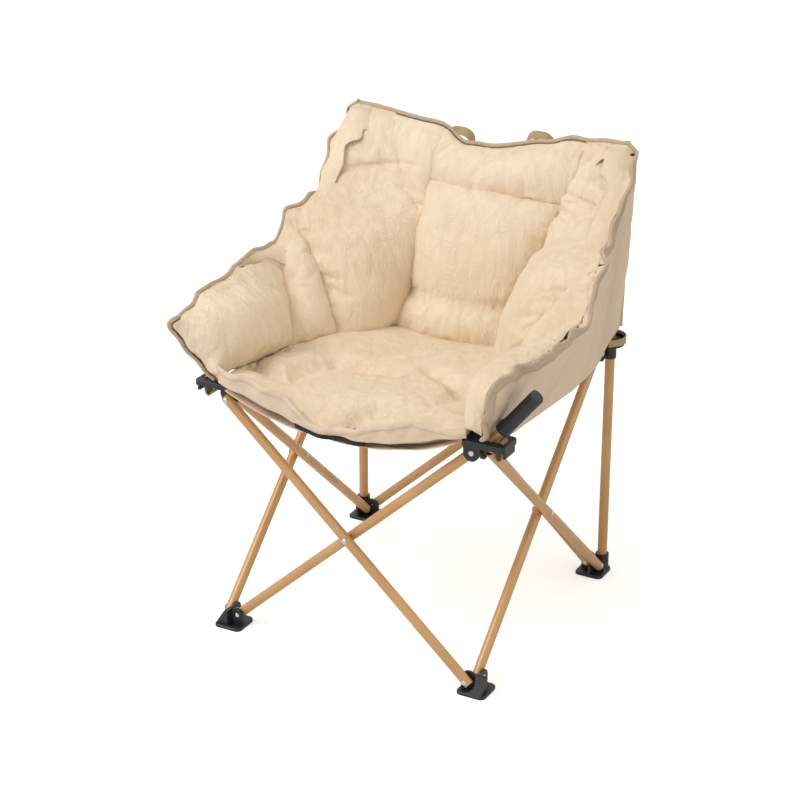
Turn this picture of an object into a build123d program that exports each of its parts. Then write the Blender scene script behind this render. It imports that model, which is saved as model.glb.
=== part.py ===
from build123d import *
import os
from math import atan2, cos, degrees, hypot, radians, sin, tan

# A padded folding club chair: four pairs of crossed steel legs joined at plastic feet and hubs,
# two rear uprights that carry the back, and a quilted tub hung between the hubs and the uprights.
# Millimetres, +Z up, the sitter looks along -Y, the origin lies on the floor under the middle of
# the chair's box. "Span" numbers are counted from the middle of the square of legs.

os.makedirs("parts", exist_ok=True)

# ---------------------------------------------------------------- driving dimensions
CENTRE_Y = 17.0  # middle of the square of legs, behind the origin
PIVOT_SPAN = 420.0  # from leg pivot to leg pivot along each side, open
PIVOT_RISE = 386.0  # from a foot's pivots up to a hub's pivots, open
FOOT_PIVOT_Z = 20.0

TUBE_D = 16.0
TUBE_WALL = 1.2
TUBE_END = 6.5  # tube past its end pivot
UPRIGHT_TOP = 740.0
UPRIGHT_OUT = 21.5  # upright's axis outside the corner pivots, both ways

WASHER_T = 1.0
WASHER_D = 12.0
WALL_T = 4.0  # plastic lug walls
EAR_R = 13.0  # lug ears, about their pivot
SIDE_GAP = 0.4  # tube to lug wall
SEAT_GAP = 0.3  # a head or a washer to a round tube
FABRIC_GAP = 0.6  # cloth or padding to whatever lies beside it

RIVET_D = 5.0
RIVET_HEAD_D = 9.0
RIVET_HEAD_H = 1.8
RIVET_TAIL_H = 1.2
HOLE_GAP = 0.06  # radial, rivet to hole
TAIL_GAP = 0.15  # clinched tail in its recess

FOOT_REACH = 35.0  # base past the corner pivots
FOOT_INNER = 14.0  # base inside the corner pivots
FOOT_BASE_T = 5.0
FOOT_WALL_TOP = 30.0
SOCKET_WALL = 3.4

DECK_CLEAR = 11.0  # underside of a hub's deck over its pivots
DECK_T = 4.0
PLATE_T = 9.0
PLATE_REACH = 58.0  # armrest plate outboard of the pivots
PLATE_FRONT = 28.0
PLATE_BACK = 20.0
LIP_T = 5.0
LIP_DROP = 20.0
STRAP_SLOT = 5.0

POST_OUT = 29.0  # foot of the arm post, outboard of the pivots
POST_FORWARD = 4.0
POST_LEAN = 39.0
POST_LENGTH = 104.0
POST_PIN_D = 4.0
SLEEVE_D = 24.0
SLEEVE_START = 24.0
SLEEVE_CAP = 6.0
FLANGE_W = 14.0
FLANGE_T = 3.0
FLANGE_START = 36.0  # along the post, from its foot
FLANGE_OVER = 9.0  # past the sleeve's end

SLIDER_BORE_GAP = 0.3
SLIDER_WALL = 1.9
DISC_D = 46.0
DISC_T = 11.0
DISC_RIM = 2.2
DISC_DISH = 4.0

CAP_D = 22.0
CAP_H = 20.0
CAP_OVER = 5.0
CAP_HORN = 27.0
CAP_HORN_T = 10.0

WEB_T = 2.0
WEB_W = 20.0

# The padded tub. Stations are (outboard X, distance behind the middle of the legs, Z).
SEAT_INSET = 16.0  # seat cushion's sides inside the pivots
SEAT_FRONT = 256.0
SEAT_REAR = 146.0
SEAT_SIDE_Z = 444.0  # top of the cushion's sides, at the front
SEAT_MID_Z = 420.0  # top of the cushion's middle, at the front
SEAT_BACK_Z = 408.0
SEAT_THICK = 40.0
SEAT_SIDE_THICK = 28.0
TUFT = (112.0, -64.0)
TUFT_R = 60.0
TUFT_DEPTH = 7.0
ARM_FRONT = ((227, -238, 443), (266, -297, 541))
ARM_CREASE = ((230, -52, 424), (271, 10, 549))
WING_CREASE = ((237, 60, 424), (264, 66, 616))
BACK_Y = 237.0  # inner face of the back canvas at the foot of the pads
BACK_LEAN = 4.0
PAD_FOOT = 410.0
LUMBAR_Z = 482.0
HEADREST_DROP = 94.0  # headrest's seam below the rim
SEAM_GAP = 1.2
LEFT_SEAM = (-112.0, -82.0)  # X of the seam between wing and back, at its foot and at the rim
RIGHT_SEAM = (84.0, 172.0)
RIM_TOP = 744.0
WING_DROP = 12.0  # top of a wing below the rim

CANVAS_T = 2.6
HEM_STAND = 8.0
CANVAS_FOOT = 402.0
CANVAS_FRONT_FOOT = 436.0
BAND_Y = 257.4
BINDING_H = 7.0
LOOP_SPOTS = ((-62, 252.5, -28), (82, 250.8, -14))  # X, distance behind, height over RIM_TOP
LOOP_W = 42.0
LOOP_H = 20.0

# ---------------------------------------------------------------- worked out from them
HALF = PIVOT_SPAN / 2
SEAT_HALF_W = HALF - SEAT_INSET
TUBE_R = TUBE_D / 2
RIVET_R = RIVET_D / 2
DOME_R = ((RIVET_HEAD_D / 2) ** 2 + RIVET_HEAD_H**2) / (2 * RIVET_HEAD_H)
HUB_PIVOT_Z = FOOT_PIVOT_Z + PIVOT_RISE
LEG_LENGTH = hypot(PIVOT_SPAN, PIVOT_RISE)
END_SWEEP = hypot(TUBE_END, TUBE_R)  # reach of a tube's end about its pivot
WALL_IN = END_SWEEP + 0.7  # corner wall, from the pivots to its inner face
WALL_OUT = WALL_IN + WALL_T
OUTER_PLANE = WALL_OUT + SIDE_GAP + TUBE_R  # axis plane of the outer legs
INNER_PLANE = OUTER_PLANE - TUBE_D - WASHER_T  # axis plane of the inner legs
EAR_IN = INNER_PLANE + TUBE_R + SIDE_GAP
EAR_OUT = EAR_IN + WALL_T
UPRIGHT_XY = HALF + UPRIGHT_OUT
HEADREST_Z = RIM_TOP - HEADREST_DROP
DECK_Z = HUB_PIVOT_Z + DECK_CLEAR
PLATE_Z = DECK_Z + DECK_T
PLATE_TOP = PLATE_Z + PLATE_T
POST_X = HALF + POST_OUT
POST_Y = CENTRE_Y - HALF - POST_FORWARD
POST_Z = PLATE_TOP - 1.0
LEAN = radians(POST_LEAN)
CENTRE_AXIS = Axis((0, CENTRE_Y, 0), (0, 0, 1))
CORNERS = ("front_right", "rear_right", "rear_left", "front_left")
SIDES = ("front", "right", "rear", "left")


def save(piece, name):
    """Label a finished piece and write its file."""
    piece.label = name
    export_step(piece, f"parts/{name}.step")


def turned(piece, quarter_turns):
    """A copy of a piece, turned about the middle of the legs."""
    return piece.rotate(CENTRE_AXIS, 90 * quarter_turns)


def front_plane(out):
    """Upright plane beside the front right corner's pivots, facing forwards: X right, Y up."""
    return Plane(origin=(HALF, CENTRE_Y - HALF - out, 0), x_dir=(1, 0, 0), z_dir=(0, -1, 0))


def side_plane(out):
    """Upright plane beside the front right corner's pivots, facing right: X backwards, Y up."""
    return Plane(origin=(HALF + out, CENTRE_Y - HALF, 0), x_dir=(0, 1, 0), z_dir=(1, 0, 0))


def cross_section(span_y):
    """Upright plane across the chair, at a distance behind the middle of the legs."""
    return Plane(origin=(0, CENTRE_Y + span_y, 0), x_dir=(1, 0, 0), z_dir=(0, -1, 0))


def long_section(x):
    """Upright plane along the chair: its X is the distance behind the middle of the legs."""
    return Plane(origin=(x, CENTRE_Y, 0), x_dir=(0, 1, 0), z_dir=(1, 0, 0))


def level(z):
    """Level plane, with its origin over the middle of the legs."""
    return Plane(origin=(0, CENTRE_Y, z))


# ---------------------------------------------------------------- legs, washers and rivets
def make_leg(low, high, outward):
    """A tube between two pivots, cut square past each, with its end holes and its middle hole."""
    run = high - low
    along = run.normalized()
    with BuildPart() as leg:
        with BuildSketch(Plane(origin=low - along * TUBE_END, x_dir=outward, z_dir=along)):
            Circle(TUBE_R)
            Circle(TUBE_R - TUBE_WALL, mode=Mode.SUBTRACT)
        extrude(amount=LEG_LENGTH + 2 * TUBE_END)
        for share in (0, 0.5, 1):
            with BuildSketch(Plane(origin=low + run * share, z_dir=outward)):
                Circle(RIVET_R + HOLE_GAP)
            extrude(amount=TUBE_D, both=True, mode=Mode.SUBTRACT)
    return leg.part


def add_rivet(centre, outward, tail, head):
    """A domed rivet on the centre's axis: its grip runs from tail to head, measured outwards."""
    across = outward.cross(Vector(0, 0, 1))
    with BuildSketch(Plane(origin=centre, x_dir=across, z_dir=across.cross(outward))) as profile:
        with BuildLine():
            Polyline(
                (0, head + RIVET_HEAD_H),
                (0, tail - RIVET_TAIL_H),
                (RIVET_R + TAIL_GAP * 8, tail - RIVET_TAIL_H),
                (RIVET_R + TAIL_GAP * 8, tail),
                (RIVET_R, tail),
                (RIVET_R, head),
                (RIVET_HEAD_D / 2, head),
            )
            RadiusArc((RIVET_HEAD_D / 2, head), (0, head + RIVET_HEAD_H), -DOME_R)
        make_face()
    revolve(profile.sketch, axis=Axis(centre, outward))


def add_washer(centre, outward, start):
    """The spacing washer that keeps two crossing tubes apart."""
    face_plane = Plane(origin=centre + outward * (start + SEAT_GAP / 2), z_dir=outward)
    with BuildSketch(face_plane) as ring:
        Circle(WASHER_D / 2)
        Circle(RIVET_R + HOLE_GAP, mode=Mode.SUBTRACT)
    extrude(ring.sketch, amount=WASHER_T - SEAT_GAP)


forward = Vector(0, -1, 0)
outer_y = CENTRE_Y - HALF - OUTER_PLANE
inner_y = CENTRE_Y - HALF - INNER_PLANE
outer_low = Vector(HALF, outer_y, FOOT_PIVOT_Z)
outer_high = Vector(-HALF, outer_y, HUB_PIVOT_Z)
inner_low = Vector(-HALF, inner_y, FOOT_PIVOT_Z)
inner_high = Vector(HALF, inner_y, HUB_PIVOT_Z)
outer_leg = make_leg(outer_low, outer_high, forward)
inner_leg = make_leg(inner_low, inner_high, forward)

with BuildPart() as outer_rivets:
    wall_tail = WALL_IN - OUTER_PLANE + RIVET_TAIL_H + TAIL_GAP
    for pivot in (outer_low, outer_high):
        add_rivet(pivot, forward, wall_tail, TUBE_R + SEAT_GAP)
    crossing = (outer_low + outer_high) * 0.5
    add_rivet(crossing, forward, -TUBE_D - WASHER_T - TUBE_R - SEAT_GAP, TUBE_R + SEAT_GAP)
    add_washer(crossing, forward, -TUBE_R - WASHER_T)

with BuildPart() as inner_rivets:
    for pivot in (inner_low, inner_high):
        add_rivet(pivot, forward, -TUBE_R - SEAT_GAP, EAR_OUT - INNER_PLANE)

for quarter, side in enumerate(SIDES):
    save(turned(outer_leg, quarter), f"{side}_outer_leg")
    save(turned(inner_leg, quarter), f"{side}_inner_leg")
    save(turned(outer_rivets.part, quarter), f"{side}_outer_leg_rivets")
    save(turned(inner_rivets.part, quarter), f"{side}_inner_leg_rivets")


# ---------------------------------------------------------------- lugs shared by feet and hubs
def add_lug(plane, thickness, pivot_z, flat_z, corner_x):
    """A wall with an ear rounded about its pivot; it runs on to the corner and to a flat."""
    with BuildSketch(plane) as lug:
        with Locations((0, pivot_z)):
            Circle(EAR_R)
        low_x, high_x = sorted((-EAR_R if corner_x > 0 else EAR_R, corner_x))
        low_z, high_z = sorted((pivot_z, flat_z))
        with Locations(((low_x + high_x) / 2, (low_z + high_z) / 2)):
            Rectangle(high_x - low_x, high_z - low_z)
    extrude(lug.sketch, amount=thickness)


def drill_lug(plane, pivot_z, recessed):
    """The rivet's hole through a wall, with a recess for its tail where legs swing past it."""
    with BuildSketch(plane) as hole:
        with Locations((0, pivot_z)):
            Circle(RIVET_R + HOLE_GAP)
    extrude(hole.sketch, amount=WALL_T, mode=Mode.SUBTRACT)
    if recessed:
        with BuildSketch(plane) as recess:
            with Locations((0, pivot_z)):
                Circle(RIVET_R + TAIL_GAP * 10)
        extrude(recess.sketch, amount=RIVET_TAIL_H + 2 * TAIL_GAP, mode=Mode.SUBTRACT)


def clear_leg_end(plane, pivot_z):
    """Room for an outer leg's end to turn in front of its wall."""
    with BuildSketch(plane) as sweep:
        with Locations((0, pivot_z)):
            Circle(END_SWEEP + 0.6)
    extrude(sweep.sketch, amount=TUBE_D + 2 * SIDE_GAP, mode=Mode.SUBTRACT)


# ---------------------------------------------------------------- feet
def make_foot(with_socket):
    """A front right foot; the rear ones also hold the bottom of an upright."""
    middle = (FOOT_REACH - FOOT_INNER) / 2
    size = FOOT_REACH + FOOT_INNER
    with BuildPart() as foot:
        with BuildSketch(Plane(origin=(HALF, CENTRE_Y - HALF, 0))):
            with Locations((middle, -middle)):
                RectangleRounded(size, size, 9)
        extrude(amount=FOOT_BASE_T)
        chamfer(foot.faces().sort_by(Axis.Z)[-1].edges(), 1.2)
        add_lug(front_plane(WALL_IN), WALL_T, FOOT_PIVOT_Z, FOOT_BASE_T / 2, EAR_OUT)
        add_lug(side_plane(EAR_IN), WALL_T, FOOT_PIVOT_Z, FOOT_BASE_T / 2, -WALL_OUT)
        fin_low, fin_high = -6.0, FOOT_REACH - 5
        with BuildSketch(side_plane(fin_low)):
            with BuildLine():
                Polyline(
                    (-WALL_IN, FOOT_WALL_TOP),
                    (-WALL_OUT - 2, FOOT_WALL_TOP),
                    (-FOOT_REACH + 1.5, FOOT_BASE_T - 1),
                    (-WALL_IN, FOOT_BASE_T - 1),
                    close=True,
                )
            make_face()
        extrude(amount=fin_high - fin_low)
        with BuildSketch(front_plane(WALL_OUT)):
            with Locations((0, FOOT_PIVOT_Z)):
                Circle(FOOT_PIVOT_Z - FOOT_BASE_T)
        extrude(amount=FOOT_REACH, mode=Mode.SUBTRACT)
        if with_socket:
            with BuildSketch(Plane(origin=(HALF, CENTRE_Y - HALF, FOOT_BASE_T / 2))):
                with Locations((UPRIGHT_OUT, -UPRIGHT_OUT)):
                    Circle(TUBE_R + SOCKET_WALL)
            extrude(amount=FOOT_WALL_TOP)
            with BuildSketch(Plane(origin=(HALF, CENTRE_Y - HALF, FOOT_BASE_T))):
                with Locations((UPRIGHT_OUT, -UPRIGHT_OUT)):
                    Circle(TUBE_R + HOLE_GAP)
            extrude(amount=FOOT_WALL_TOP, mode=Mode.SUBTRACT)
            clear_leg_end(front_plane(WALL_OUT), FOOT_PIVOT_Z)
        drill_lug(front_plane(WALL_IN), FOOT_PIVOT_Z, recessed=True)
        drill_lug(side_plane(EAR_IN), FOOT_PIVOT_Z, recessed=False)
    return foot.part


front_foot = make_foot(with_socket=False)
rear_foot = make_foot(with_socket=True)
for quarter, corner in enumerate(CORNERS):
    save(turned(rear_foot if "rear" in corner else front_foot, quarter), f"{corner}_foot")


# ---------------------------------------------------------------- rear uprights and their caps
def mirrored(piece):
    """The same piece on the other side of the chair."""
    return mirror(piece, Plane.YZ)


with BuildPart() as upright:
    with BuildSketch(Plane(origin=(UPRIGHT_XY, CENTRE_Y + UPRIGHT_XY, FOOT_BASE_T + 0.2))):
        Circle(TUBE_R)
        Circle(TUBE_R - TUBE_WALL, mode=Mode.SUBTRACT)
    extrude(amount=UPRIGHT_TOP - FOOT_BASE_T - 0.2)

with BuildPart() as upright_cap:
    cap_base = UPRIGHT_TOP + CAP_OVER - CAP_H
    with BuildSketch(Plane(origin=(UPRIGHT_XY, CENTRE_Y + UPRIGHT_XY, cap_base))):
        Circle(CAP_D / 2)
    extrude(amount=CAP_H)
    fillet(upright_cap.faces().sort_by(Axis.Z)[-1].edges(), 3)
    with BuildSketch(Plane(origin=(UPRIGHT_XY, CENTRE_Y + UPRIGHT_XY, cap_base))):
        Circle(TUBE_R + HOLE_GAP)
    extrude(amount=CAP_H - CAP_OVER + 0.2, mode=Mode.SUBTRACT)
    with BuildSketch(Plane(origin=(UPRIGHT_XY, CENTRE_Y + UPRIGHT_XY, cap_base + CAP_H - CAP_HORN_T - 2))):
        with BuildLine():
            Polyline(
                (CAP_D / 2 - 1.5, -CAP_D / 4),
                (CAP_HORN - CAP_D / 8, -CAP_D / 8),
                (CAP_HORN, CAP_D / 8),
                (CAP_HORN - CAP_D / 8, CAP_D / 3),
                (CAP_D / 2 - 3.5, CAP_D / 4),
                close=True,
            )
        make_face()
    extrude(amount=CAP_HORN_T)

save(upright.part, "right_upright")
save(mirrored(upright.part), "left_upright")
save(upright_cap.part, "right_upright_cap")
save(mirrored(upright_cap.part), "left_upright_cap")


# ---------------------------------------------------------------- hub blocks
def add_hub_block():
    """Lugs and deck of a hub at the front right corner: outer leg on the right, inner in front."""
    add_lug(side_plane(WALL_IN), WALL_T, HUB_PIVOT_Z, DECK_Z + 1, -EAR_OUT)
    add_lug(front_plane(EAR_IN), WALL_T, HUB_PIVOT_Z, DECK_Z + 1, WALL_OUT)
    middle = (EAR_OUT - EAR_R) / 2
    with BuildSketch(Plane(origin=(HALF, CENTRE_Y - HALF, DECK_Z))) as deck:
        with Locations((middle, -middle)):
            Rectangle(EAR_OUT + EAR_R, EAR_OUT + EAR_R)
    extrude(deck.sketch, amount=DECK_T)


def drill_hub_block():
    """The two rivet holes of a hub block."""
    drill_lug(side_plane(WALL_IN), HUB_PIVOT_Z, recessed=True)
    drill_lug(front_plane(EAR_IN), HUB_PIVOT_Z, recessed=False)


with BuildPart() as hub_block:
    add_hub_block()
    drill_hub_block()


def make_front_hub(quarter_turns, out):
    """A hub block under a plate that reaches outboard; out is +1 on the right and -1 on the left."""
    plate_width = PLATE_FRONT + PLATE_BACK
    plate_y = CENTRE_Y - HALF - (PLATE_FRONT - PLATE_BACK) / 2
    with BuildPart() as hub:
        add(turned(hub_block.part, quarter_turns))
        with BuildSketch(Plane.XY.offset(PLATE_Z)):
            plate_length = PLATE_REACH + EAR_R
            with Locations((out * (HALF - EAR_R + plate_length / 2), plate_y)):
                RectangleRounded(plate_length, plate_width, 6)
        extrude(amount=PLATE_T)
        chamfer(hub.faces().sort_by(Axis.Z)[-1].edges(), 1.2)
        with BuildSketch(Plane.XY.offset(PLATE_TOP - LIP_DROP)):
            with Locations((out * (HALF + PLATE_REACH - LIP_T / 2 - 0.5), plate_y)):
                RectangleRounded(LIP_T, plate_width - 14, 2)
        extrude(amount=LIP_DROP - PLATE_T / 2)
        # oval slot in which the arm post leans, and the slot for the webbing behind the lip
        slot_length = TUBE_D / cos(LEAN) + 8
        with BuildSketch(Plane.XY.offset(POST_Z - TUBE_R - 1)):
            with Locations((out * (POST_X + 1.5), POST_Y)):
                Rectangle(slot_length, TUBE_D + 1)
        extrude(amount=PLATE_T * 2, mode=Mode.SUBTRACT)
        with BuildSketch(Plane.XY.offset(PLATE_Z - 1)):
            with Locations((out * (HALF + PLATE_REACH - LIP_T - STRAP_SLOT / 2 - 1), plate_y)):
                Rectangle(STRAP_SLOT, WEB_W + 4)
        extrude(amount=PLATE_T + 2, mode=Mode.SUBTRACT)
        with BuildSketch(Plane(origin=(out * POST_X, POST_Y, POST_Z), z_dir=(0, 1, 0))):
            Circle(POST_PIN_D / 2 + HOLE_GAP)
        extrude(amount=TUBE_D, both=True, mode=Mode.SUBTRACT)
        with BuildSketch(Plane.XY.offset(PLATE_Z - DECK_T)):
            with Locations((out * (HALF - 2), CENTRE_Y - HALF - EAR_IN)):
                Circle(RIVET_R + HOLE_GAP)
        extrude(amount=PLATE_T + DECK_T, mode=Mode.SUBTRACT)
    return hub.part


save(make_front_hub(0, 1), "right_front_hub")
save(make_front_hub(-1, -1), "left_front_hub")


# ---------------------------------------------------------------- arm posts, pins and sleeves
post_axis = Vector(sin(LEAN), 0, cos(LEAN))
post_foot = Vector(POST_X, POST_Y, POST_Z)

with BuildPart() as post:
    post_start = TUBE_R - 1.5
    with BuildSketch(Plane(origin=post_foot - post_axis * post_start, x_dir=(0, 1, 0), z_dir=post_axis)):
        Circle(TUBE_R)
        Circle(TUBE_R - TUBE_WALL, mode=Mode.SUBTRACT)
    extrude(amount=POST_LENGTH + post_start)
    with BuildSketch(Plane(origin=post_foot, z_dir=(0, 1, 0))):
        Circle(POST_PIN_D / 2 + HOLE_GAP)
    extrude(amount=TUBE_D, both=True, mode=Mode.SUBTRACT)

with BuildPart() as post_pin:
    with BuildSketch(Plane(origin=post_foot, z_dir=(0, 1, 0))):
        Circle(POST_PIN_D / 2)
    extrude(amount=PLATE_BACK - POST_FORWARD - 3, both=True)

with BuildPart() as sleeve:
    sleeve_plane = Plane(
        origin=post_foot + post_axis * SLEEVE_START, x_dir=(0, 1, 0), z_dir=post_axis
    )
    sleeve_length = POST_LENGTH - SLEEVE_START + SLEEVE_CAP
    with BuildSketch(sleeve_plane):
        Circle(SLEEVE_D / 2)
    extrude(amount=sleeve_length)
    fillet(sleeve.faces().sort_by(Axis.Z)[-1].edges(), 2.5)
    # a bar along the inboard upper side, sunk into the sleeve by 2, with a rounded end past it
    inboard_up = Vector(-cos(LEAN), 0, sin(LEAN))
    bar_foot = post_foot + inboard_up * (SLEEVE_D / 2 - 2)
    with BuildSketch(Plane(origin=bar_foot, x_dir=(0, 1, 0), z_dir=inboard_up)) as bar:
        bar_length = SLEEVE_START + sleeve_length + FLANGE_OVER - FLANGE_START
        with Locations((0, -FLANGE_START - bar_length / 2)):
            RectangleRounded(FLANGE_W, bar_length, FLANGE_W / 2 - 0.5)
    extrude(bar.sketch, amount=FLANGE_T + 1)
    with BuildSketch(sleeve_plane):
        Circle(TUBE_R + HOLE_GAP)
    extrude(amount=POST_LENGTH - SLEEVE_START + 0.2, mode=Mode.SUBTRACT)

for piece, name in ((post, "arm_post"), (post_pin, "arm_post_pin"), (sleeve, "arm_sleeve")):
    save(piece.part, f"right_{name}")
    save(mirrored(piece.part), f"left_{name}")


# ---------------------------------------------------------------- rear sliders
with BuildPart() as slider:
    add(turned(hub_block.part, 1))
    upright_spot = (UPRIGHT_XY, CENTRE_Y + UPRIGHT_XY)
    with BuildSketch(Plane.XY.offset(HUB_PIVOT_Z - EAR_R)):
        with Locations(upright_spot):
            Circle(TUBE_R + SLIDER_BORE_GAP + SLIDER_WALL)
    extrude(amount=EAR_R + DECK_CLEAR + 1)
    with BuildSketch(Plane.XY.offset(DECK_Z)):
        with Locations(upright_spot):
            Circle(DISC_D / 2)
    extrude(amount=DISC_T)
    with BuildSketch(Plane.XY.offset(DECK_Z + DISC_T - DISC_DISH)):
        with Locations(upright_spot):
            Circle(DISC_D / 2 - DISC_RIM)
            Circle(TUBE_R + SLIDER_BORE_GAP + SLIDER_WALL, mode=Mode.SUBTRACT)
    extrude(amount=DISC_DISH, mode=Mode.SUBTRACT)
    with BuildSketch(Plane.XY.offset(HUB_PIVOT_Z - EAR_R)):
        with Locations(upright_spot):
            Circle(TUBE_R + SLIDER_BORE_GAP)
    extrude(amount=EAR_R + DECK_CLEAR + DISC_T, mode=Mode.SUBTRACT)

save(slider.part, "rear_right_slider")
save(turned(slider.part, 1), "rear_left_slider")


# ---------------------------------------------------------------- webbing
with BuildPart() as slider_loop:
    loop_in = DISC_D / 2 + 0.4
    loop_tail = 15.0
    with BuildSketch(Plane(origin=(*upright_spot, DECK_Z + DECK_T + 0.3)).rotated((0, 0, 45))):
        Circle(loop_in + WEB_T)
        with Locations((-loop_tail / 2, 0)):
            Rectangle(loop_tail, 2 * (loop_in + WEB_T))
        with Locations((-DISC_D, 0)):
            Rectangle(2 * (DISC_D - loop_tail), DISC_D * 2, mode=Mode.SUBTRACT)
        Circle(loop_in, mode=Mode.SUBTRACT)
        with Locations((-loop_tail / 2 - 1, 0)):
            Rectangle(loop_tail + 2, 2 * loop_in, mode=Mode.SUBTRACT)
    extrude(amount=WEB_W * 0.6)

with BuildPart() as hub_loop:
    strap_x = HALF + PLATE_REACH - LIP_T - STRAP_SLOT / 2 - 1
    strap_y = CENTRE_Y - HALF - (PLATE_FRONT - PLATE_BACK) / 2
    with BuildSketch(Plane(origin=(0, strap_y, 0), x_dir=(1, 0, 0), z_dir=(0, -1, 0))):
        with BuildLine():
            Polyline(
                (strap_x + WEB_T / 2, PLATE_Z - 12),
                (strap_x + WEB_T / 2, PLATE_TOP + SEAT_GAP + WEB_T),
                (strap_x - 6, PLATE_TOP + SEAT_GAP + WEB_T),
                (strap_x - 6, PLATE_TOP + SEAT_GAP),
                (strap_x - WEB_T / 2, PLATE_TOP + SEAT_GAP),
                (strap_x - WEB_T / 2, PLATE_Z - 12),
            )
            ThreePointArc(
                (strap_x - WEB_T / 2, PLATE_Z - 12),
                (strap_x - 7, PLATE_Z - 20),
                (strap_x - 13, PLATE_Z - 12),
            )
            Line((strap_x - 13, PLATE_Z - 12), (strap_x - 13 - WEB_T, PLATE_Z - 12))
            ThreePointArc(
                (strap_x - 13 - WEB_T, PLATE_Z - 12),
                (strap_x - 7, PLATE_Z - 20 - WEB_T),
                (strap_x + WEB_T / 2, PLATE_Z - 12),
            )
        make_face()
    extrude(amount=WEB_W / 2, both=True)

save(slider_loop.part, "right_slider_loop")
save(mirrored(slider_loop.part), "left_slider_loop")
save(hub_loop.part, "right_hub_loop")
save(mirrored(hub_loop.part), "left_hub_loop")


# ---------------------------------------------------------------- the padded tub
def spot(out, place, z=None):
    """A point of the tub on one side: out is +1 on the right and -1 on the left."""
    x, behind, height = place
    return Vector(out * x, CENTRE_Y + behind, height if z is None else z)


def station(foot, top, inward):
    """The plane of a pad's section: its origin at the foot, X into the tub, Y up the canvas."""
    up = (top - foot).normalized()
    across = (inward - up * inward.dot(up)).normalized()
    return Plane(origin=foot, x_dir=across, z_dir=across.cross(up))


def pad_section(foot, top, inward, depths, puff):
    """A pad's section: a straight canvas side, a rounded rim and one bulged face.

    depths are its thickness at the foot and at the rim.
    """
    length = (top - foot).length
    deep, thin = depths
    with BuildSketch(station(foot, top, inward)) as section:
        with BuildLine():
            Polyline((thin, length), (0, length), (0, 0), (deep, 0))
            ThreePointArc((deep, 0), ((deep + thin) / 2 + puff, length * 0.5), (thin, length))
        make_face()
    return section.sketch


def roll_section(foot, top, inward, depths, crease, puff):
    """As pad_section, with a crease across the face at a height above the foot."""
    length = (top - foot).length
    deep, thin = depths
    share = crease / length
    mid = deep + (thin - deep) * share
    with BuildSketch(station(foot, top, inward)) as section:
        with BuildLine():
            Polyline((thin, length), (0, length), (0, 0), (deep, 0))
            ThreePointArc((deep, 0), ((deep + mid) / 2 + puff, crease * 0.5), (mid, crease))
            ThreePointArc(
                (mid, crease), ((mid + thin) / 2 + puff, (crease + length) * 0.5), (thin, length)
            )
        make_face()
    return section.sketch


def between(first, last, share):
    """Point part of the way from one to another."""
    return first + (last - first) * share


def shifted(place, dx, dy, dz):
    """A tub point moved outboard, back and up."""
    return (place[0] + dx, place[1] + dy, place[2] + dz)


# seat cushion: a sagging slab, low in the middle, with a tuft on the right
def seat_section(behind, half_w, mid_z, side_z, thick, side_thick):
    """The cushion's section across the chair: hollow on top, bellied below, round sides."""
    with BuildSketch(cross_section(behind)) as section:
        with BuildLine():
            ThreePointArc((-half_w, side_z), (0, mid_z), (half_w, side_z))
            ThreePointArc(
                (half_w, side_z),
                (half_w + side_thick / 4, side_z - side_thick / 2),
                (half_w, side_z - side_thick),
            )
            ThreePointArc((half_w, side_z - side_thick), (0, mid_z - thick), (-half_w, side_z - side_thick))
            ThreePointArc(
                (-half_w, side_z - side_thick),
                (-half_w - side_thick / 4, side_z - side_thick / 2),
                (-half_w, side_z),
            )
        make_face()
    return section.sketch


with BuildPart() as seat_cushion:
    seat_sections = (
        seat_section(-SEAT_FRONT, SEAT_HALF_W - 10, SEAT_MID_Z - 8, SEAT_SIDE_Z - 8, 20, 14),
        seat_section(-SEAT_FRONT + 24, SEAT_HALF_W - 8, SEAT_MID_Z, SEAT_SIDE_Z - 2, 34, 24),
        seat_section(
            -SEAT_FRONT / 2, SEAT_HALF_W - 4, SEAT_MID_Z, SEAT_SIDE_Z - 7, SEAT_THICK, SEAT_SIDE_THICK
        ),
        seat_section(0, SEAT_HALF_W - 4, SEAT_MID_Z - 7, SEAT_SIDE_Z - 16, SEAT_THICK, SEAT_SIDE_THICK),
        seat_section(
            SEAT_REAR, SEAT_HALF_W - 10, SEAT_BACK_Z - 10, SEAT_BACK_Z, SEAT_THICK - 6, SEAT_SIDE_THICK
        ),
    )
    loft(sections=seat_sections)
    tuft_centre = (TUFT[0], CENTRE_Y + TUFT[1], SEAT_MID_Z + TUFT_R - TUFT_DEPTH)
    with Locations(tuft_centre):
        Sphere(TUFT_R, mode=Mode.SUBTRACT)

save(seat_cushion.part, "seat_cushion")


def clear_of_seat():
    """Cut away what would touch the seat cushion, with the fabric gap all round it."""
    gap = FABRIC_GAP
    for shift in ((0, 0, gap), (0, 0, -gap), (gap, 0, 0), (-gap, 0, 0), (0, gap, 0)):
        add(seat_cushion.part.moved(Location(shift)), mode=Mode.SUBTRACT)


def turned_in(out, angle):
    """The direction into the tub, from straight inboard (0 degrees) to straight forward (90)."""
    return Vector(-out * cos(radians(angle)), -sin(radians(angle)), 0)


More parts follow.
